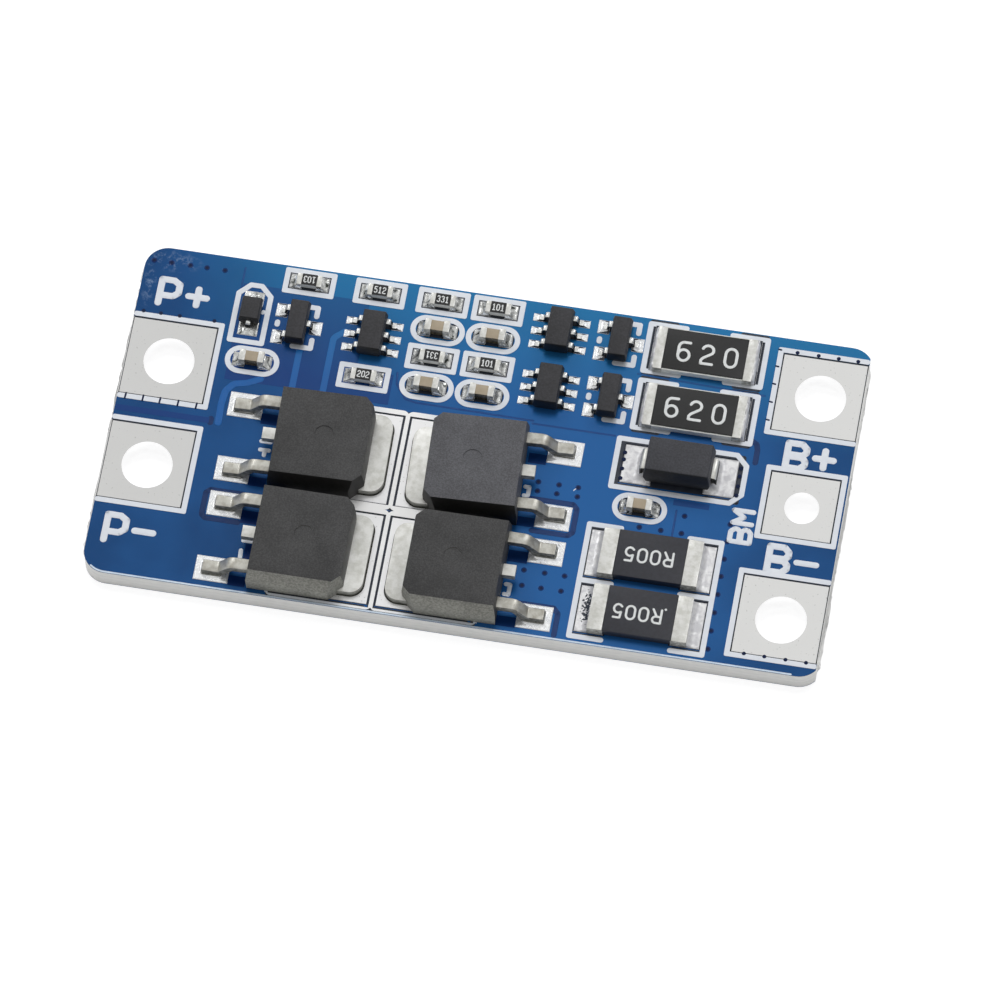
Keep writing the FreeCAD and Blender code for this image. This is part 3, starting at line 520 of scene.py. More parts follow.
# Painted light: the ink turns pure white between the power transistors.
painted_light_between_transistors = window(tree, place, (-5.0, -4.5, 1.6), (4.0, 9.0, 1.0), 0.8)
ink = add(tree, "ShaderNodeMix", {
    FACTOR: painted_light_between_transistors, FIRST: ink, SECOND: linear("#ffffff")}, data_type="RGBA")
close_finish(tree, {
    "Base Color": ink, "Roughness": 0.6, "Specular IOR Level": 0.3})
code_ink = mottled("resistor_code_ink", 0.3, ("#eef0f0", "#d6d9da"), 0.6, specular=0.3)


# %% [markdown]
# ## Helpers for the pieces
#
# A finished piece sits at the origin with its place in its mesh, rides on the one body, and carries
# its finishes in its own material slots.
#
# The CAD solids have knife edges. Real mouldings, bent leads and dipped caps have none, and it is
# the line of light on a rounded edge that makes a part look real. So each is copied, its loose
# triangles are merged into plain faces, and a Bevel modifier rounds its edges by a real radius.

# %% Settle and soften
def settle(name, mesh, finish):
    """A finished piece: its object, its finish and the body it rides on."""
    made = stand(name, mesh)
    if not len(mesh.materials):
        for surface in finish if isinstance(finish, (list, tuple)) else [finish]:
            mesh.materials.append(surface)
    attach(made, "root")
    return made


def clean_copy(node_name):
    """A node's mesh with its doubles merged and its flat faces made whole."""
    shape = bmesh.new()
    shape.from_mesh(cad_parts[node_name].data)
    bmesh.ops.remove_doubles(shape, verts=shape.verts, dist=0.001 * mm)
    bmesh.ops.dissolve_limit(
        shape, angle_limit=math.radians(0.5), verts=shape.verts, edges=shape.edges)
    shape.normal_update()
    return shape


def close_shape(shape, name):
    """Turns an edited shape into a mesh and lets the shape go."""
    mesh = bpy.data.meshes.new(name)
    shape.to_mesh(mesh)
    shape.free()
    return mesh


def stand_in(shape, node_name, finish):
    """Settles an edited shape in the place of its CAD node."""
    name = node_name + "_finished"
    made = settle(name, close_shape(shape, name), finish)
    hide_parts(node_name)
    return made


def soften(node_name, radius, finish, steps=2, choose=None):
    """Stands a copy with rounded edges in for a CAD node; with no radius it keeps its edges."""
    shape = clean_copy(node_name)
    for face in shape.faces:
        face.smooth = radius > 0
        if choose:
            face.material_index = choose(face)
    made = stand_in(shape, node_name, finish)
    if radius > 0:
        edge = made.modifiers.new("edge", "BEVEL")
        edge.width = radius * mm
        edge.segments = steps
        edge.limit_method = "ANGLE"
        edge.angle_limit = math.radians(32)
        edge.harden_normals = True


def paint(node_name, finish):
    """Gives a CAD node that keeps its own shape its finish."""
    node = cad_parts[node_name]
    node.data.materials.clear()
    node.data.materials.append(finish)


# %% [markdown]
# Several nodes hold many separate solids: all lands are one node, and so are a package's leads.
# To put solder on each, their boxes are found by walking through the joined triangles, always in
# the order of the vertices, so that each run gives every joint the same noise.

# %% Find the loose solids of a node
def islands(node_name):
    """Corner coordinates of each separate solid in a node, as arrays in metres."""
    shape = clean_copy(node_name)
    left = set(shape.verts)
    found = []
    for start in shape.verts:
        if start not in left:
            continue
        left.remove(start)
        queue, island = [start], []
        while queue:
            here = queue.pop()
            island.append(here.co[:])
            for edge in here.link_edges:
                other = edge.other_vert(here)
                if other in left:
                    left.remove(other)
                    queue.append(other)
        found.append(np.array(island))
    shape.free()
    return found


def plan_box(points):
    """Low x, low y, high x and high y of a cloud of points."""
    return (*points[:, :2].min(0), *points[:, :2].max(0))


lands = [plan_box(points) for points in islands("component_lands")]
print("lands", len(lands))


# %% [markdown]
# ## The bare board
#
# The board was routed on its long sides and snapped from its neighbours at both ends along V
# scores, which leaves a rough web of glass and epoxy. The CAD has it as a clean strip, so its
# outer edges are cut fine and each point is pushed back in by noise: torn, never larger.

# %% Laminate with torn webs
shape = clean_copy("board_laminate")
web_tip = max(abs(v.co.x) for v in shape.verts)
at_tip = 0.001 * mm
shortest_tip = 5 * mm
tip_edges = [edge for edge in shape.edges if edge.calc_length() > shortest_tip
             and all(abs(v.co.x) > web_tip - at_tip for v in edge.verts)]
bmesh.ops.subdivide_edges(shape, edges=tip_edges, cuts=160, use_grid_fill=True)
deepest_tear = 0.17
for vert in shape.verts:
    if abs(vert.co.x) > web_tip - at_tip:
        rough = noise.noise(vert.co * grain(0.5)) + 0.6 * noise.noise(vert.co * grain(0.17))
        slow = noise.noise(vert.co * grain(3.0))
        back = min(max(0.09 + 0.12 * rough + 0.1 * slow, 0.0), deepest_tear)
        vert.co.x -= math.copysign(back * mm, vert.co.x)
        vert.co.z += 0.12 * mm * noise.noise(vert.co * grain(0.3) + Vector((7, 0, 0)))
print("laminate faces", len(shape.faces))
stand_in(shape, "board_laminate", laminate)

# %% Mask and lands
paint("solder_mask_top", mask_over_copper)
paint("solder_mask_bottom", mask_over_copper)
paint("component_lands", land_tin)

# %% [markdown]
# A terminal is one piece of copper: a land on each face, joined through the hole. The wall of the
# hole is drawn as pure white, mirror-bright tin. This is painted light, as if light fell in from
# both ends.

# %% Terminals
def hole_wall(face):
    """Index 1 for the wall of a terminal's hole, 0 for its lands."""
    near = (face.calc_center_median() - terminal_middle).xy.length < hole_reach
    return 1 if near and abs(face.normal.z) < 0.5 else 0


terminal_names = ["p_plus", "p_minus", "b_plus", "b_middle", "b_minus"]
for name in terminal_names:
    low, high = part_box(name + "_terminal")
    terminal_middle = (low + high) / 2
    hole_reach = 0.42 * min(high.x - low.x, high.y - low.y)
    soften(name + "_terminal", 0, [terminal_tin, painted_light_bore], choose=hole_wall)

# %% [markdown]
# The frames are screen printed, so their outer corners come out round. Only the upright edges at
# those corners are bevelled. The line in front of the power transistors runs along the edge of
# the board and came out thinner than the others, so its inner edge is moved towards the front.

# %% Printed frames
shape = clean_copy("silkscreen_frames")
print_low = min(v.co.y for v in shape.verts)
transistor_middle, transistor_reach = -5 * mm, 8 * mm
for vert in shape.verts:
    on_inner_edge = print_low + 0.25 * mm < vert.co.y < print_low + 0.4 * mm
    if on_inner_edge and abs(vert.co.x - transistor_middle) < transistor_reach:
        vert.co.y -= 0.17 * mm
corner_radius = 0.13
upright = [edge for edge in shape.edges
           if abs(edge.verts[0].co.z - edge.verts[1].co.z) > 0.01 * mm
           and len(edge.link_faces) == 2 and edge.calc_face_angle_signed() > math.radians(60)]
print("rounded corners", len(upright))
bmesh.ops.bevel(shape, geom=upright, offset=corner_radius * mm, segments=4, profile=0.5,
                affect="EDGES", clamp_overlap=True)
stand_in(shape, "silkscreen_frames", legend_ink)


# %% [markdown]
# Between each land and the mask round it a narrow gap is left open. A thin dark plate lies on
# the laminate in each gap, so that it looks as dark as it does on the board. This is flux stain
# and painted shade of the narrow gap. Where a lead stands, the mask was printed right up to the
# land, and the plate there is blue lacquer, as thick as the mask.

# %% Gaps round the lands
def plates(name, boxes, finish):
    """A piece of plain boxes, each given by its two opposite corners."""
    shape = bmesh.new()
    for low, high in boxes:
        size = Vector(high) - Vector(low)
        middle = (Vector(high) + Vector(low)) / 2
        bmesh.ops.create_cube(shape, size=1.0, matrix=(
            Matrix.Translation(middle) @ Matrix.Diagonal((*size, 1))))
    settle(name, close_shape(shape, name), finish)
    print(name, len(boxes))


def shared_area(one, other):
    wide = min(one[2], other[2]) - max(one[0], other[0])
    high = min(one[3], other[3]) - max(one[1], other[1])
    return max(wide, 0) * max(high, 0)


def land_under(foot):
    """The land that a foot stands on, which is the one it shares most area with."""
    best = max(lands, key=lambda land: shared_area(land, foot))
    return best if shared_area(best, foot) else None


def foot_of(corners_of):
    """The plan box of a solid's lowest corners."""
    return plan_box(corners_of[corners_of[:, 2] < land_top + 0.06 * mm])


node_names = sorted(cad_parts)
leads = [n for n in node_names if n.endswith("leads")]
mosfet_leads = [n for n in leads if n.startswith("mosfet")]
small_leads = [n for n in leads if not n.startswith(("mosfet", "rectifier"))]
lead_lands = {land_under(foot_of(corners_of))
              for name in mosfet_leads + small_leads if "diode" not in name
              for corners_of in islands(name)}

gap_reach = 0.16 * mm
gap_top = core_top + 0.006 * mm
lacquer_top = mask_top - 0.003 * mm
gap_boxes, lacquer_boxes = [], []
for land in lands:
    x0, y0, x1, y1 = land
    boxes, top = (lacquer_boxes, lacquer_top) if land in lead_lands else (gap_boxes, gap_top)
    boxes.append(((x0 - gap_reach, y0 - gap_reach, core_top),
                  (x1 + gap_reach, y1 + gap_reach, top)))
line = 1.2 * gap_reach
inset = 0.3 * mm
edge_margin = 0.02 * mm
for name in terminal_names:
    low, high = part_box(name + "_terminal")
    x0, y0, x1, y1 = low.x, low.y, high.x, high.y
    end_low = max(x0 - line, board_low.x + edge_margin)
    end_high = min(x1 + line, board_high.x - edge_margin)
    sides = ((end_low, y0 - line, end_high, y0 + inset), (end_low, y1 - inset, end_high, y1 + line),
             (end_low, y0, x0 + inset, y1), (x1 - inset, y0, end_high, y1))
    gap_boxes += [((left, front, core_top), (right, back, gap_top))
                  for left, front, right, back in sides]
# Dark gaps: flux stain and painted shade of the narrow recess.
plates("flux_stained_gaps", gap_boxes, flux_and_shade_dark)
plates("lacquer_to_the_lands", lacquer_boxes, mask_over_copper)


# %% [markdown]
# ## Lines of ink and of copper
#
# Letters, resistor codes and the copper tracks under the mask are all lines of one width with
# round ends. A Geometry Nodes tree sweeps a round section along a path, sets a ball on every
# corner and end, and presses the whole flat. The pressed section is a low dome, which is how
# screened ink and lacquered tracks really stand up. The path is a mesh of bare edges.

# %% Tree for a pressed line
def start_tree(name, sockets):
    """An empty geometry tree with its named inputs."""
    made = bpy.data.node_groups.new(name, "GeometryNodeTree")
    made.interface.new_socket("Geometry", in_out="INPUT", socket_type="NodeSocketGeometry")
    for label, kind in sockets:
        made.interface.new_socket(label, in_out="INPUT", socket_type=kind)
    made.interface.new_socket("Geometry", in_out="OUTPUT", socket_type="NodeSocketGeometry")
    return made, add(made, "NodeGroupInput").outputs


def grow(name, seed_mesh, tree, values):
    """Runs a tree over a seed mesh and keeps what it makes as a plain mesh."""
    seed = stand(name + "_seed", seed_mesh)
    modifier = seed.modifiers.new("grow", "NODES")
    modifier.node_group = tree
    for item in tree.interface.items_tree:
        if item.in_out == "INPUT" and item.name in values:
            modifier[item.identifier] = values[item.name]
    graph = bpy.context.evaluated_depsgraph_get()
    made = bpy.data.meshes.new_from_object(seed.evaluated_get(graph))
    made.name = name
    bpy.data.objects.remove(seed)
    return made


line_tree, given = start_tree("pressed_line", [
    ("Width", "NodeSocketFloat"), ("Rise", "NodeSocketFloat"), ("Level", "NodeSocketFloat"),
    ("Bend", "NodeSocketFloat"), ("Finish", "NodeSocketMaterial")])
half = add(line_tree, "ShaderNodeMath", {0: given["Width"], 1: 0.5}, operation="MULTIPLY")
squash = add(line_tree, "ShaderNodeMath", {0: given["Rise"], 1: half}, operation="DIVIDE")
bare = add(line_tree, "GeometryNodeMeshToCurve", {"Mesh": given["Geometry"]})
eased = add(line_tree, "GeometryNodeFilletCurve", {
    "Curve": bare, "Radius": given["Bend"], "Count": 4}, mode="POLY")
section = add(line_tree, "GeometryNodeCurvePrimitiveCircle", {
    "Resolution": 16, "Radius": half})
tube = add(line_tree, "GeometryNodeCurveToMesh", {
    "Curve": eased, "Profile Curve": section, "Fill Caps": True})
ball = add(line_tree, "GeometryNodeMeshUVSphere", {
    "Segments": 16, "Rings": 8, "Radius": half})
knots = add(line_tree, "GeometryNodeInstanceOnPoints", {
    "Points": eased, "Instance": ball,
    "Rotation": (math.pi / 2, 0, 0)})
both = add(line_tree, "GeometryNodeJoinGeometry")
line_tree.links.new(tube.outputs[0], both.inputs[0])
line_tree.links.new(knots.outputs[0], both.inputs[0])
scale = add(line_tree, "ShaderNodeCombineXYZ", {"X": 1.0, "Y": 1.0, "Z": squash})
shift = add(line_tree, "ShaderNodeCombineXYZ", {"Z": given["Level"]})
solid = add(line_tree, "GeometryNodeRealizeInstances", {"Geometry": both})
pressed = add(line_tree, "GeometryNodeTransform", {
    "Geometry": solid, "Scale": scale, "Translation": shift})
inked = add(line_tree, "GeometryNodeSetMaterial", {
    "Geometry": pressed, "Material": given["Finish"]})
add(line_tree, "NodeGroupOutput", {0: inked})


def split_at_corners(path, sharpest=35):
    """Cuts a path at its sharp corners, where a swept section would grow thin."""
    runs, run = [], [path[0]]
    for before, here, after in zip(path, path[1:], path[2:]):
        run.append(here)
        into, out = Vector(here) - Vector(before), Vector(after) - Vector(here)
        if into.length * out.length and math.degrees(into.angle(out)) > sharpest:
            runs.append(run)
            run = [here]
    return runs + [run + [path[-1]]]


def paths_mesh(name, paths, keep_width):
    """A mesh of bare edges along several open or closed paths, in millimetres."""
    points, edges = [], []
    if keep_width:
        paths = [run for path in paths for run in split_at_corners(path)]
    for path in paths:
        first = len(points)
        closed = path[0] == path[-1]
        run = path[:-1] if closed else path
        points += [(x * mm, y * mm, 0) for x, y in run]
        edges += [(first + i, first + i + 1) for i in range(len(run) - 1)]
        if closed:
            edges.append((first + len(run) - 1, first))
    mesh = bpy.data.meshes.new(name)
    mesh.from_pydata(points, edges, [])
    return mesh


def lines(name, paths, width, rise, level, finish, bend=0.0):
    """A piece made of pressed lines; width, rise and bend in millimetres, level in metres."""
    mesh = grow(name, paths_mesh(name + "_paths", paths, bend == 0), line_tree, {
        "Width": width * mm, "Rise": rise * mm, "Level": level, "Bend": bend * mm,
        "Finish": finish})
    mesh.polygons.foreach_set("use_smooth", np.ones(len(mesh.polygons), bool))
    settle(name, mesh, finish)
    print(name, "faces", len(mesh.polygons))


# %% [markdown]
# The board carries only generic marks: P and B with a plus or minus for pack and battery, BM for
# the middle tap, and the plain value codes of the resistors. Each sign is drawn as strokes in a
# box one high and one wide, with arcs worked out, and is then stretched to the box it fills.

# %% Strokes of the signs
def arc(x, y, wide, high, start, end, steps=9):
    """Points along part of an ellipse; angles in degrees."""
    angles = [math.radians(start + (end - start) * i / steps) for i in range(steps + 1)]
    return [(x + wide * math.cos(a), y + high * math.sin(a)) for a in angles]


oval = arc(0.5, 0.7, 0.5, 0.3, 0, 180) + arc(0.5, 0.3, 0.5, 0.3, 180, 360)
signs = {
    "P": [[(0, 0), (0, 1), (0.66, 1), (1, 0.85), (1, 0.5), (0.72, 0.34), (0, 0.34)]],
    "B": [[(0, 0), (0, 1), (0.75, 1), (1, 0.83), (1, 0.68), (0.82, 0.54), (0, 0.54)],
          [(0, 0.46), (0.82, 0.46), (1, 0.32), (1, 0.17), (0.75, 0), (0, 0)]],
    "M": [[(0, 0), (0, 1), (0.5, 0.45), (1, 1), (1, 0)]],
    "+": [[(0, 0.5), (1, 0.5)], [(0.5, 0), (0.5, 1)]],
    "-": [[(0, 0.5), (1, 0.5)]],
    "0": [oval + oval[:1]],
    "1": [[(0.18, 0.8), (0.5, 1), (0.5, 0)], [(0.15, 0), (0.85, 0)]],
    "2": [arc(0.5, 0.74, 0.48, 0.26, 165, -35) + [(0.15, 0.3), (0, 0.18), (0, 0), (1, 0)]],
    "3": [arc(0.45, 0.76, 0.45, 0.24, 150, -80) + arc(0.45, 0.27, 0.5, 0.27, 80, -150)],
    "5": [[(0.92, 1), (0.16, 1), (0.08, 0.55)] + arc(0.46, 0.32, 0.5, 0.32, 125, -145)],
    "6": [[(0.95, 1), (0.45, 1)] + arc(0.45, 0.72, 0.45, 0.28, 90, 180)[1:] + [(0, 0.5)]
          + arc(0.5, 0.3, 0.5, 0.3, 180, 540, 18)],
    "R": [[(0, 0), (0, 1)] + arc(0.6, 0.76, 0.38, 0.24, 90, -90) + [(0, 0.52)],
          [(0.5, 0.52), (1, 0)]],
}


def sign(letter, left, low, right, high, turn=0):
    """A sign's strokes stretched to a box in millimetres and turned about its middle."""
    middle = Vector(((left + right) / 2, (low + high) / 2))
    across, up = right - left, high - low
    if turn % 180:
        across, up = up, across
    spin = Matrix.Rotation(math.radians(turn), 2)
    placed = []
    for stroke in signs[letter]:
        points = [middle + spin @ Vector(((x - 0.5) * across, (y - 0.5) * up)) for x, y in stroke]
        placed.append([(point.x, point.y) for point in points])
    return placed


# %% [markdown]
# The terminal marks are as bold as the frames and stand up with them. Their boxes are the middle
# lines of the strokes.

# %% Terminal marks
mark_rise = 0.027
marks = sign("P", -22.08, 7.66, -20.90, 9.36) + sign("+", -20.22, 7.85, -19.06, 8.99)
marks += sign("P", -22.34, -9.33, -21.13, -7.55) + sign("-", -20.50, -8.50, -19.33, -8.38)
marks += sign("B", 19.24, 2.62, 20.44, 4.35) + sign("+", 21.05, 2.93, 22.20, 4.12)
marks += sign("B", 19.24, -4.72, 20.46, -2.96)
lines("terminal_marks", marks, 0.45, mark_rise, mask_top, legend_ink)
lines("terminal_dash", sign("-", 21.03, -3.92, 22.28, -3.80), 0.4, mark_rise,
      mask_top, legend_ink)
lines("middle_tap_marks",
      sign("B", 16.60, -3.04, 17.87, -2.15, 90) + sign("M", 16.60, -1.74, 17.82, -0.86, 90),
      0.34, mark_rise, mask_top, legend_ink)


# %% Resistor codes
def code(text, node_name, height, pitch, share, turn=0, drift=(0.0, 0.0)):
    """The strokes of a value code near the middle of a resistor."""
    low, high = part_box(node_name)
    middle_x = (low.x + high.x) / 2 / mm + drift[0]
    middle_y = (low.y + high.y) / 2 / mm + drift[1]
    half_width, half_height = share * height / 2, height / 2
    facing = -1 if turn else 1
    strokes = []
    for index, letter in enumerate(text):
        x = middle_x + facing * (index - (len(text) - 1) / 2) * pitch
        strokes += sign(letter, x - half_width, middle_y - half_height,
                        x + half_width, middle_y + half_height, turn)
    return strokes


def coded(name, strokes, width, rise, on_top_of):
    """The codes of one size of resistor, printed on top of a body."""
    lines(name, strokes, width, rise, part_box(on_top_of)[1].z, code_ink)


bleed_codes, shunt_codes, small_codes = [], [], []
for seat, bleed_drift, shunt_drift in (
        ("upper", (0.16, -0.08), (-0.1, -0.03)), ("lower", (0.05, -0.06), (-0.18, -0.1))):
    bleed_codes += code("620", f"bleed_resistor_{seat}_body", 1.3, 1.51, 0.56, drift=bleed_drift)
    shunt_codes += code("R005", f"shunt_resistor_{seat}_body", 0.92, 0.83, 0.58,
                        turn=180, drift=shunt_drift)
shunt_codes += [[(13.52, -8.74), (13.53, -8.75)]]   # a crumb of ink before the lower code
for label, turn in (("103", 180), ("512", 0), ("202", 0), ("331_upper", 0), ("331_lower", 180),
                    ("101_upper", 0), ("101_lower", 0)):
    small_codes += code(label[:3], f"resistor_{label}_body", 0.42, 0.27, 0.42, turn)
coded("bleed_resistor_codes", bleed_codes, 0.19, 0.01, "bleed_resistor_upper_body")
coded("shunt_resistor_codes", shunt_codes, 0.15, 0.01, "shunt_resistor_upper_body")
coded("small_resistor_codes", small_codes, 0.07, 0.006, "resistor_103_body")

# %% [markdown]
# ## Copper under the mask
#
# The copper shows through the lacquer. Where it is etched away the blue is deeper, and a track
# between two such places is a lighter band. The etched places are drawn as thin plates and pressed
# lines of the deeper lacquer, and the tracks as pressed lines of the lighter one. Their places and
# widths were read off the photograph.

# %% Etched places and tracks
def lacquer_films(name, places, rise, finish):
    """Thin plates half sunk in the mask; places in millimetres, rise in metres."""
    plates(name, [((x0 * mm, y0 * mm, mask_top - film_rise), (x1 * mm, y1 * mm, mask_top + rise))
                  for x0, y0, x1, y1 in places], finish)


film_rise = 0.006 * mm
lacquer_films("etched_places", [
    (-16.9, 3.0, -8.7, 9.9), (-8.7, 2.85, -6.3, 5.0), (-23.35, -0.25, -17.3, 0.15),
    (12.7, -1.16, 15.0, -0.75)], film_rise, mask_over_laminate)
# Painted shadow: deep navy strips where the transistors' leads throw their shadows on the mask.
lacquer_films("painted_shadow_beside_leads", [
    (-14.05, 0.25, -12.95, 1.0), (-14.05, -4.15, -12.95, -3.5), (-14.05, -6.8, -12.95, -5.9),
    (-14.05, -11.2, -12.95, -10.5), (3.15, 0.3, 4.3, 1.0), (3.05, -4.15, 4.3, -3.5),
    (3.05, -6.7, 4.3, -5.9), (3.05, -11.2, 4.3, -10.5), (-13.4, -9.3, -12.95, -8.2)],
    1.2 * film_rise, deep_lacquer_and_painted_shadow)
moats = [[(-14.2, -4.82), (-16.3, -4.82), (-16.55, -5.05), (-16.55, -6.6), (-16.3, -6.82),
          (-14.2, -6.82)],
         [(3.6, -2.15), (6.5, -2.15), (6.78, -2.45), (6.78, -4.1), (6.5, -4.35), (4.2, -4.35)],
         [(4.2, -9.45), (6.5, -9.45), (6.82, -9.8), (6.82, -11.3)],
         [(-17.2, 0.1), (-17.2, -0.2)],
         [(16.9, 4.1), (17.25, 3.9), (17.35, 3.5), (17.35, 2.6)]]
lines("etched_moats", moats, 0.36, 0.006, mask_top, mask_over_moat, bend=0.15)
rims = [[(3.0, 3.05), (8.3, 3.05)],
        [(-6.1, 5.2), (-6.0, 4.4), (-5.3, 3.45), (-4.6, 3.3), (3.0, 3.25)],
        [(13.0, -1.5), (13.0, -3.6)], [(-17.0, 7.5), (-17.0, 11.0)], [(17.2, 7.35), (9.0, 7.6)]]
lines("etched_rims", rims, 0.14, 0.006, mask_top, mask_over_laminate, bend=0.3)
tracks = [[(-12.53, 5.9), (-12.53, 3.0)], [(-10.55, 3.0), (-10.55, 7.0), (-9.9, 7.55)],
          [(-14.6, 3.35), (-15.4, 2.95), (-16.2, 2.75), (-16.65, 2.2), (-16.75, 1.2),
           (-16.7, -0.1)]]
lines("tracks", tracks, 0.46, 0.014, mask_top, mask_over_trace, bend=0.5)

# %% [markdown]
# The saw that cut the panel took a hair of the mask off along the front edge, and the pale board
# shows there.

# %% Worn front edge
worn_edge = mottled("worn_mask_edge", 0.6, ("#eaf4ff", "#b4c8de"), 0.6, detail=4.0)
worn_width = 0.12
worn_inset = worn_width / 2 + 0.01
routed_radius = 1.5
corner_turn = routed_radius - worn_inset
worn_y = board_low.y / mm + worn_inset
worn_corner = arc(-21.9, worn_y + corner_turn, corner_turn, corner_turn, 232, 270, steps=5)
lines("worn_front_edge", [worn_corner + [(21.9, worn_y)]], worn_width, 0.006, mask_top, worn_edge)

# %% [markdown]
# Between the printed frames and the wide lands they enclose, the mask is drawn dark. The dark
# line goes round three sides of a land, and for the rectifier's left land round all four.

# %% Dark surrounds of the wide lands
smallest_wide_land = 2.2   # square millimetres
aside = 0.25
surrounds = []
for land in lands:
    x0, y0, x1, y1 = [edge / mm for edge in land]
    if (x1 - x0) * (y1 - y0) <= smallest_wide_land or land in lead_lands:
        continue
    outer, inner = (x0 - aside, x1 - 0.2) if (x0 + x1) / 2 < 12.5 else (x1 + aside, x0 + 0.2)
    y0, y1 = y0 - aside, y1 + aside
    surrounds.append([(inner, y0), (outer, y0), (outer, y1), (inner, y1)])
    if x0 < 5:
        surrounds.append([(x1 + aside, y0), (x1 + aside, y1)])
lines("dark_surrounds", surrounds, 0.32, 0.004, mask_top, flux_and_shade_dark)

# %% [markdown]
# ## Vias
#
# A via joins the two copper layers through a drilled and plated hole of 0.3 mm, closed by the
# mask. It shows as a low blue ring with a dark dimple in it. The tree sets one ring and one
# dimple on every point.

# %% Via tree
via_tree, given = start_tree("tented_via", [
    ("Ring", "NodeSocketFloat"), ("Hole", "NodeSocketFloat"), ("Rise", "NodeSocketFloat"),
    ("Lacquer", "NodeSocketMaterial"), ("Dimple", "NodeSocketMaterial")])
inner = add(via_tree, "ShaderNodeMath", {0: given["Ring"], 1: 0.8}, operation="MULTIPLY")
pad = add(via_tree, "GeometryNodeMeshCone", {
    "Vertices": 20, "Radius Top": inner, "Radius Bottom": given["Ring"], "Depth": given["Rise"]})
pad_finish = add(via_tree, "GeometryNodeSetMaterial", {
    "Geometry": pad, "Material": given["Lacquer"]})
plug_depth = add(via_tree, "ShaderNodeMath", {0: given["Rise"], 1: 1.15}, operation="MULTIPLY")
plug = add(via_tree, "GeometryNodeMeshCone", {
    "Vertices": 20, "Radius Top": given["Hole"], "Radius Bottom": given["Hole"],
    "Depth": plug_depth})
plug_finish = add(via_tree, "GeometryNodeSetMaterial", {
    "Geometry": plug, "Material": given["Dimple"]})
both = add(via_tree, "GeometryNodeJoinGeometry")
via_tree.links.new(pad_finish.outputs[0], both.inputs[0])
via_tree.links.new(plug_finish.outputs[0], both.inputs[0])
spots = add(via_tree, "GeometryNodeInstanceOnPoints", {
    "Points": given["Geometry"], "Instance": both})
solid = add(via_tree, "GeometryNodeRealizeInstances", {"Geometry": spots})
add(via_tree, "NodeGroupOutput", {0: solid})

via_hole = mottled("via_dimple", 0.3, ("#04102e", "#0c1e46"), 0.35, detail=2.0, specular=0.2)


def vias(name, places, ring, hole, rise, level, lacquer):
    """A piece of many vias; places, ring, hole and rise in millimetres, level in metres."""
    points = bpy.data.meshes.new(name + "_points")
    points.from_pydata([(x * mm, y * mm, level) for x, y in places], [], [])
    mesh = grow(name, points, via_tree, {
        "Ring": ring * mm, "Hole": hole * mm, "Rise": rise * mm, "Lacquer": lacquer,
        "Dimple": via_hole})
    settle(name, mesh, [lacquer, via_hole])
    print(name, len(places))


# %% Vias in the mask and in the print
def row_of(xs, y):
    return [(x, y) for x in xs]


def column_of(x, ys):
    return [(x, y) for y in ys]


open_vias = row_of((-22.86, -21.73, -20.51, -19.43, -18.26), 10.60)
open_vias += row_of((10.87, 12.24, 13.56), -3.03) + [(13.56, -1.81)]
open_vias += column_of(16.50, (-1.91, -3.13, -4.36, -5.58, -6.85, -8.13, -9.40, -10.67))
open_vias += row_of((4.06, 5.38, 6.61), -0.93) + row_of((4.11, 5.34, 6.66), -1.57)
open_vias += row_of((4.21, 5.53, 6.80), -7.15) + row_of((4.26, 5.48, 6.75), -8.22)
vias("vias_in_mask", open_vias, 0.19, 0.11, 0.012, mask_top, deep_lacquer_and_painted_shadow)

print_vias = row_of((-22.86, -21.73, -20.51, -18.26), 6.92)
print_vias += row_of((18.76, 20.12, 21.41, 22.66), 10.70)
print_vias += row_of((18.78, 20.08, 21.42, 22.72), -10.62)
vias("vias_in_print", print_vias, 0.13, 0.11, 0.008, legend_top, via_hole)

# %% [markdown]
# The rectifier's lands end in a row of vias that solder ran into, and the print left slits where
# it crosses other vias. Both are dark spots and dashes.

# %% Bitten edges and slits
bitten = column_of(9.12, (1.97, 1.48, 0.83, 0.15)) + column_of(16.55, (2.04, 1.48, 0.77, 0.12))
vias("bitten_land_edges", bitten, 0.14, 0.13, 0.012, land_top + 0.02 * mm, via_hole)
slits = [[(x, 0.64), (x + 0.02, 1.0)] for x in (-22.88, -21.75, -20.65, -19.48, -18.3)]
slits += [[(17.56, y), (17.72, y - 0.02)] for y in (10.75, 9.55, 8.29, 7.0, 5.72)]
lines("slits_in_print", slits, 0.12, 0.01, legend_top, via_hole)

# %% [markdown]
# Crumbs of the legend are left beside the transistors' cut centre leads, and the lacquer has one
# white scratch.

# %% Crumbs of print
crumbs = [[(3.3, -1.4), (3.55, -1.4), (3.55, -2.0), (3.3, -2.02)],
          [(3.25, -8.3), (3.52, -8.3), (3.52, -9.0), (3.25, -9.0)],
          [(-13.75, -0.95), (-13.15, -0.95)], [(-13.72, -1.55), (-13.15, -1.55)],
          [(-13.42, -1.6), (-13.42, -1.9)], [(-13.6, -8.0), (-13.1, -8.0)],
          [(-13.62, -8.7), (-13.6, -9.25)], [(-15.32, 8.02), (-15.3, 8.08)]]
lines("crumbs_of_print", crumbs, 0.28, 0.02, mask_top, legend_ink)
lines("scratch", [[(6.36, -1.16), (6.5, -1.0), (6.74, -0.92)]], 0.07, 0.008, mask_top,
      legend_ink)


# %% [markdown]
# ## Solder joints
#
# Paste was printed on the lands and melted under each lead and end cap. Each joint is a fine grid
# over its land, closed by a skirt. Its height is worked out from the distance to the foot, and is
# stirred by noise, because no two joints are alike. There are three forms: a hollow fillet that
# falls with the square of the distance, a full bulge outside a large end cap, and a wedge that
# spreads from a small lead to the end of its land. Faces outside the form stay dark, because flux
# and shadow lie there.

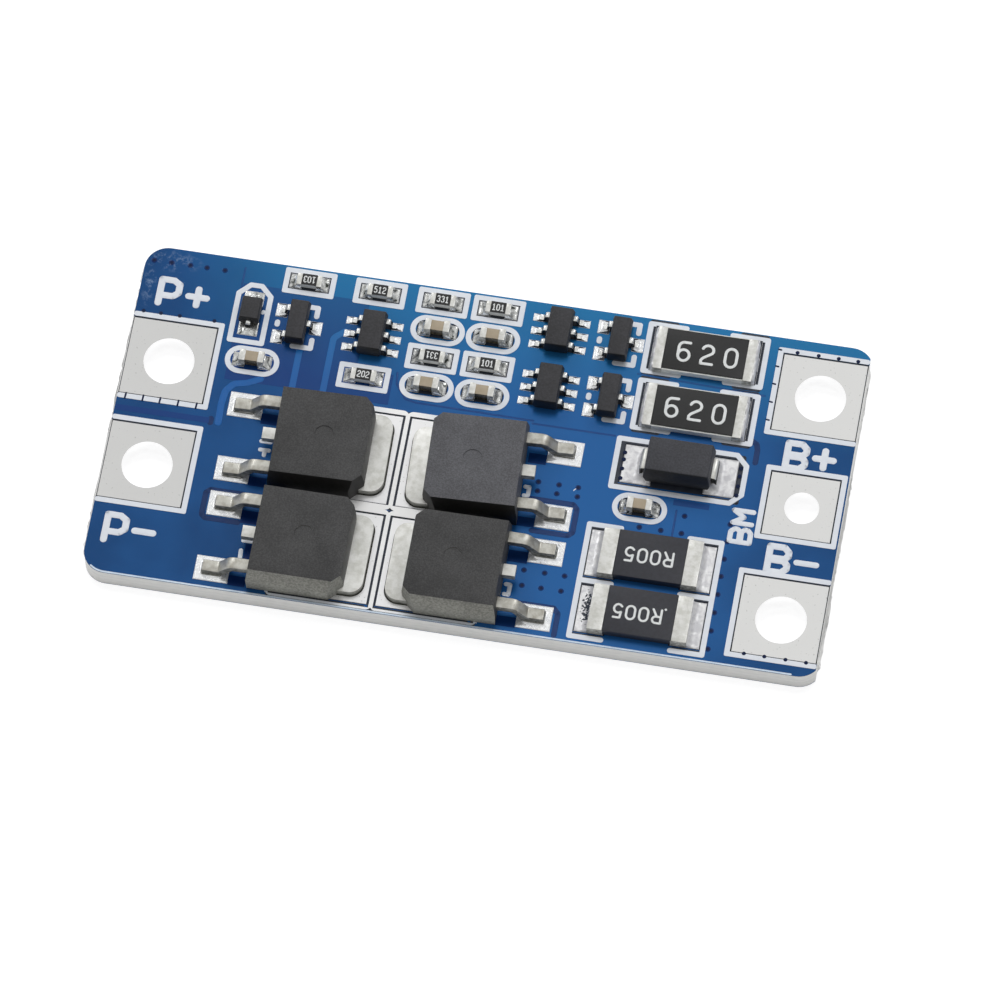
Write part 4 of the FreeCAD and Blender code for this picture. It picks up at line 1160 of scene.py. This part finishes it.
# %% Height field of one joint
def stirred(x, y, size, layer):
    """Noise over a grid of points, in lumps of this many millimetres."""
    values = [noise.noise(Vector((a * grain(size), b * grain(size), layer)))
              for a, b in zip(x.ravel(), y.ravel())]
    return np.array(values).reshape(x.shape)


def joint_field(x, y, land, foot, form, stir):
    """How far the solder climbs over a grid, from 0 to 1, and where it stays dark."""
    x0, y0, x1, y1 = land
    beside = np.maximum(np.maximum(foot[0] - x, x - foot[2]), 0)
    before = np.maximum(np.maximum(foot[1] - y, y - foot[3]), 0)
    foot_x, foot_y = (foot[0] + foot[2]) / 2, (foot[1] + foot[3]) / 2
    reach = form["reach"] * mm
    if form["kind"] == "bulge":
        bow = np.sqrt(np.clip(1 - ((y - foot_y) / (0.55 * (foot[3] - foot[1]))) ** 2, 0, 1))
        near = np.clip(beside / (reach * (0.5 + 0.5 * bow)), 0, 1) + (before > 0)
        return np.sqrt(np.clip(1 - near ** 2, 0, 1)), (near >= 1) & (beside > 0.12 * mm)
    away = np.hypot(beside, before)
    climb = np.clip(1 - away / reach, 0, 1) ** 2
    dark = (away > 0) & (away < form.get("rim", 0) * mm)
    if form["kind"] == "wedge":
        out_x, out_y = (x0 + x1) / 2 - foot_x, (y0 + y1) / 2 - foot_y
        if abs(out_x) > abs(out_y):
            out = (x - x0 if out_x > 0 else x1 - x) / (x1 - x0)
            aside = abs(y - foot_y) / ((y1 - y0) / 2)
        else:
            out = (y - y0 if out_y > 0 else y1 - y) / (y1 - y0)
            aside = abs(x - foot_x) / ((x1 - x0) / 2)
        dark = aside > form["narrow"] + (1.1 - form["narrow"]) * out + 0.25 * stir
    if "spot" in form:
        spot_x, spot_y, wide, high = [v * mm for v in form["spot"]]
        off = ((x - spot_x) / wide) ** 2 + ((y - spot_y) / high) ** 2
        dark = dark | (off + 4 * stirred(x, y, 0.13, 0) < 0.5)
    return climb, dark


def joint(points, faces, darks, land, foot, form, seed):
    """Adds one solder joint to the lists; all in metres."""
    x0, y0, x1, y1 = land
    trim = 0.01 * mm
    step = form["step"] * mm
    columns, rows = max(8, int((x1 - x0) / step)), max(8, int((y1 - y0) / step))
    x, y = np.meshgrid(np.linspace(x0 + trim, x1 - trim, columns),
                       np.linspace(y0 + trim, y1 - trim, rows))
    stir = stirred(x, y, 0.45, seed)
    climb, dark = joint_field(x, y, land, foot, form, stir)
    inside = np.minimum(np.minimum(x - x0, x1 - x), np.minimum(y - y0, y1 - y))
    fade = np.clip(inside / (0.1 * mm), 0, 1)
    fade = fade * fade * (3 - 2 * fade)
    film = 0.016 * mm * (1 + 0.6 * stir)
    z = land_top + fade * (film + form["rise"] * mm * climb * (1 + 0.25 * stir))
    first = len(points)
    points += list(zip(x.ravel(), y.ravel(), z.ravel()))
    for r in range(rows - 1):
        for c in range(columns - 1):
            a = first + r * columns + c
            faces.append((a, a + 1, a + columns + 1, a + columns))
            darks.append(int(dark[r:r + 2, c:c + 2].sum() >= 2))
    grid = first + np.arange(rows * columns).reshape(rows, columns)
    rim = [*grid[0], *grid[1:, -1], *grid[-1, -2::-1], *grid[-2:0:-1, 0]]
    lower = len(points)
    points += [(points[i][0], points[i][1], land_top - trim) for i in rim]
    count = len(rim)
    for i in range(count):
        j = (i + 1) % count
        faces.append((rim[j], rim[i], lower + i, lower + j))
    faces.append(tuple(lower + i for i in range(count - 1, -1, -1)))
    darks += [0] * (count + 1)


def joints_piece(name, node_names, finish, **form):
    """Solder round every foot of the given nodes; the form's sizes are in millimetres."""
    points, faces, darks = [], [], []
    count = 0
    for node_name in node_names:
        for corners_of in islands(node_name):
            foot = foot_of(corners_of)
            land = land_under(foot)
            if land:
                joint(points, faces, darks, land, foot, form, 3.7 * count)
                count += 1
    mesh = bpy.data.meshes.new(name)
    mesh.from_pydata(points, [], faces)
    mesh.polygons.foreach_set("use_smooth", np.ones(len(mesh.polygons), bool))
    mesh.polygons.foreach_set("material_index", np.array(darks, np.int32))
    print(name, count, "joints, faces", len(faces))
    settle(name, mesh, [finish, lead_edge_and_shade if "rim" in form else flux_and_shade_dark])


# %% Joints of every kind
def caps_of(kind):
    return [f"{kind}_resistor_upper_end_caps", f"{kind}_resistor_lower_end_caps"]


six_leads = [n for n in small_leads if "chip" in n]
three_leads = [n for n in small_leads if "transistor" in n]
joints_piece("solder_small_chips", ["small_chip_end_caps"], chip_solder,
             kind="hollow", rise=0.33, reach=0.5, step=0.06)
joints_piece("solder_bleed_resistors", caps_of("bleed"), broad_solder,
             kind="bulge", rise=0.5, reach=0.25, step=0.05)
joints_piece("solder_shunt_resistors", caps_of("shunt"), broad_solder,
             kind="hollow", rise=0.3, reach=0.5, step=0.04, spot=(8.6, -9.1, 0.3, 1.0))
joints_piece("solder_power_leads", mosfet_leads, lead_solder,
             kind="hollow", rise=0.08, reach=0.2, rim=0.05, step=0.04)
joints_piece("solder_six_lead_chips", six_leads, lead_solder,
             kind="wedge", rise=0.08, reach=0.2, narrow=0.2, step=0.03)
joints_piece("solder_three_lead_chips", three_leads, lead_solder,
             kind="wedge", rise=0.08, reach=0.2, narrow=0.6, step=0.04)
joints_piece("solder_diode", ["small_diode_leads"], chip_solder,
             kind="hollow", rise=0.1, reach=0.3, step=0.04)
joints_piece("solder_rectifier", ["rectifier_leads"], broad_solder,
             kind="hollow", rise=0.45, reach=0.5, step=0.07)

# %% [markdown]
# Flux ran out from under the small leads and round the small chips, and left the mask there dark.
# The plates also carry painted shade there, and the plate under the rectifier is a painted shadow.
# It is a thin plate under each, a little longer or shorter than what lies over it.

# %% Flux on the mask
dark_plate_top = mask_top + 0.005 * mm
flux_and_shade_boxes = []


def flux_and_shade_plate(x0, y0, x1, y1):
    """One plate of flux and painted shade; all in metres."""
    flux_and_shade_boxes.append(((x0, y0, mask_top), (x1, y1, dark_plate_top)))


for name in six_leads + three_leads:
    body_low, body_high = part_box(name.replace("leads", "body"))
    for corners_of in islands(name):
        x0, y0, x1, y1 = plan_box(corners_of)
        if x0 < body_low.x:
            start, end = x0 + 0.2 * mm, body_low.x + 0.1 * mm
        else:
            start, end = body_high.x - 0.1 * mm, x1 - 0.2 * mm
        flux_and_shade_plate(start, y0 - 0.04 * mm, end, y1 + 0.02 * mm)
for name in node_names:
    if name.startswith("resistor") or "capacitor" in name:
        low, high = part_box(name)
        flux_and_shade_plate(low.x - 0.55 * mm, low.y - 0.17 * mm, high.x + 0.55 * mm, high.y + 0.17 * mm)
# Under the rectifier the dark plate is a painted shadow.
low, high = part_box("rectifier_body")
flux_and_shade_plate(low.x + 0.4 * mm, low.y - 0.1 * mm, high.x - 0.4 * mm, high.y + 0.08 * mm)
plates("flux_and_painted_shade_on_the_mask", flux_and_shade_boxes, flux_and_shade_dark)

# %% [markdown]
# ## Power transistors
#
# The moulding's edges are rounded by 0.1 mm, as the mould's are, and the lead frame's by 0.05 mm,
# as a stamped sheet's are. The lead frame was stamped from a tinned sheet, so its cut edges show
# darker metal than its faces, and the steep legs also get that darker metal as painted shade. The
# front sides of the lower two mouldings are painted pale as painted light, and the front sides of
# the upper two are painted black as painted shade in the narrow gap between the pairs.

# %% Power transistors
def cut_edge_and_shaded_leg(face):
    """Index 1 for every upright face of a stamped lead or tab, its cut edges and its steep legs,
    which take the darker metal as cut edge and as painted shade; 0 for the rest.
    """
    return 1 if abs(face.normal.z) < 0.35 else 0


def front_side(face):
    """Index 1 for a moulding's front side, 0 for the rest."""
    return 1 if face.normal.y < -0.6 else 0


def seam_round(node_name):
    """The outline of a drain tab's underside as one closed path in millimetres."""
    shape = clean_copy(node_name)
    level = min(v.co.z for v in shape.verts) + 0.01 * mm
    low = [v for v in shape.verts if v.co.z < level]
    hull = bmesh.ops.convex_hull(shape, input=low)["geom"]
    rim = [v for v in hull if isinstance(v, bmesh.types.BMVert)]
    middle = sum((v.co for v in rim), Vector()) / len(rim)
    ring = sorted(((v.co.x, v.co.y) for v in rim),
                  key=lambda p: math.atan2(p[1] - middle.y, p[0] - middle.x))
    shape.free()
    path = [(x / mm, y / mm) for x, y in ring]
    return path + path[:1]


seats = ("upper_left", "lower_left", "upper_right", "lower_right")
# A dark line round each drain tab, where it meets the solder: the seam, with painted shade.
seams = [seam_round(f"mosfet_{seat}_drain_tab") for seat in seats]
lines("drain_tab_seams_and_painted_shade", seams, 0.17, 0.03, land_top, sheared_edge_and_shade)

for seat in seats:
    upper = seat.startswith("upper")
    top_mould = pale_mould if seat == "upper_right" else power_mould
    side_mould = painted_shade_front_mould if upper else painted_light_front_mould
    node_name = f"mosfet_{seat}_"
    soften(node_name + "body", 0.09, [top_mould, side_mould],
           steps=3, choose=front_side)
    for part, finishes in (("drain_tab", [tinned_tab, tab_edge_and_shade]),
                           ("leads", [tinned_leadframe, lead_edge_and_shade])):
        soften(node_name + part, 0.06, finishes, steps=3, choose=cut_edge_and_shaded_leg)

# %% [markdown]
# ## Small packages
#
# The same for the three-lead and six-lead packages, the small diode and the rectifier, whose black
# front sides are painted shade too.

# %% Small packages
for name in ("switch_transistor", "bleed_transistor_upper", "bleed_transistor_lower",
             "protection_chip", "balance_chip_upper", "balance_chip_lower", "small_diode"):
    soften(name + "_body", 0.05, [small_mould, painted_shade_front_mould], choose=front_side)
    soften(name + "_leads", 0.025, [bright_lead, sheared_edge_and_shade], choose=cut_edge_and_shaded_leg)
soften("rectifier_body", 0.08, [rectifier_mould, painted_shade_front_mould],
       steps=3, choose=front_side)
soften("rectifier_leads", 0.04, [folded_strap, sheared_edge_and_shade], choose=cut_edge_and_shaded_leg)


# %% [markdown]
# ## Chips
#
# A resistor's solid is ceramic with the overcoat on top of it. The faces of the overcoat, which
# are all above the ceramic's top face, get the black finish and the rest the white one. The two
# shunts are metal strips in a black moulding, so all their faces are black.

# %% Chips
def coat_chooser(node_name, coat_depth=0.05):
    """Index 1 for the faces of the overcoat, 0 for the ceramic under it."""
    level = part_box(node_name)[1].z - coat_depth * mm
    return lambda face: 1 if face.calc_center_median().z > level else 0


resistors = [n for n in node_names if n.startswith("resistor") and n.endswith("body")]
for name in resistors + ["bleed_resistor_upper_body", "bleed_resistor_lower_body"]:
    soften(name, 0.02, [alumina, overcoat], choose=coat_chooser(name))
for name in ("shunt_resistor_upper", "shunt_resistor_lower"):
    soften(name + "_body", 0.03, shunt_coat)
chip_edge = 0.05 * mm
# The caps' front faces, and a strip over each front, take the duller and darker tin: painted shade.
for name, strip in (("shunt_resistor_upper", 0.97), ("shunt_resistor_lower", 0.97),
                    ("bleed_resistor_upper", 0.55), ("bleed_resistor_lower", 0.55)):
    soften(name + "_end_caps", 0.05, [chip_cap, painted_shade_cap_front], choose=front_side)
    low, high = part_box(name + "_end_caps")
    plates(name + "_cap_fronts", [
        ((start, low.y - 0.004 * mm, low.z + chip_edge),
         (start + strip * mm, low.y + chip_edge, high.z - chip_edge))
        for start in (low.x + chip_edge, high.x - chip_edge - strip * mm)],
        painted_shade_cap_front)
soften("small_chip_end_caps", 0.04, [chip_cap, painted_shade_cap_front], choose=front_side)
# A capacitor's front side takes the dark brown painted shade.
for name in node_names:
    if "capacitor" in name:
        soften(name, 0.03, [tan_ceramic, painted_shade_capacitor_front], choose=front_side)
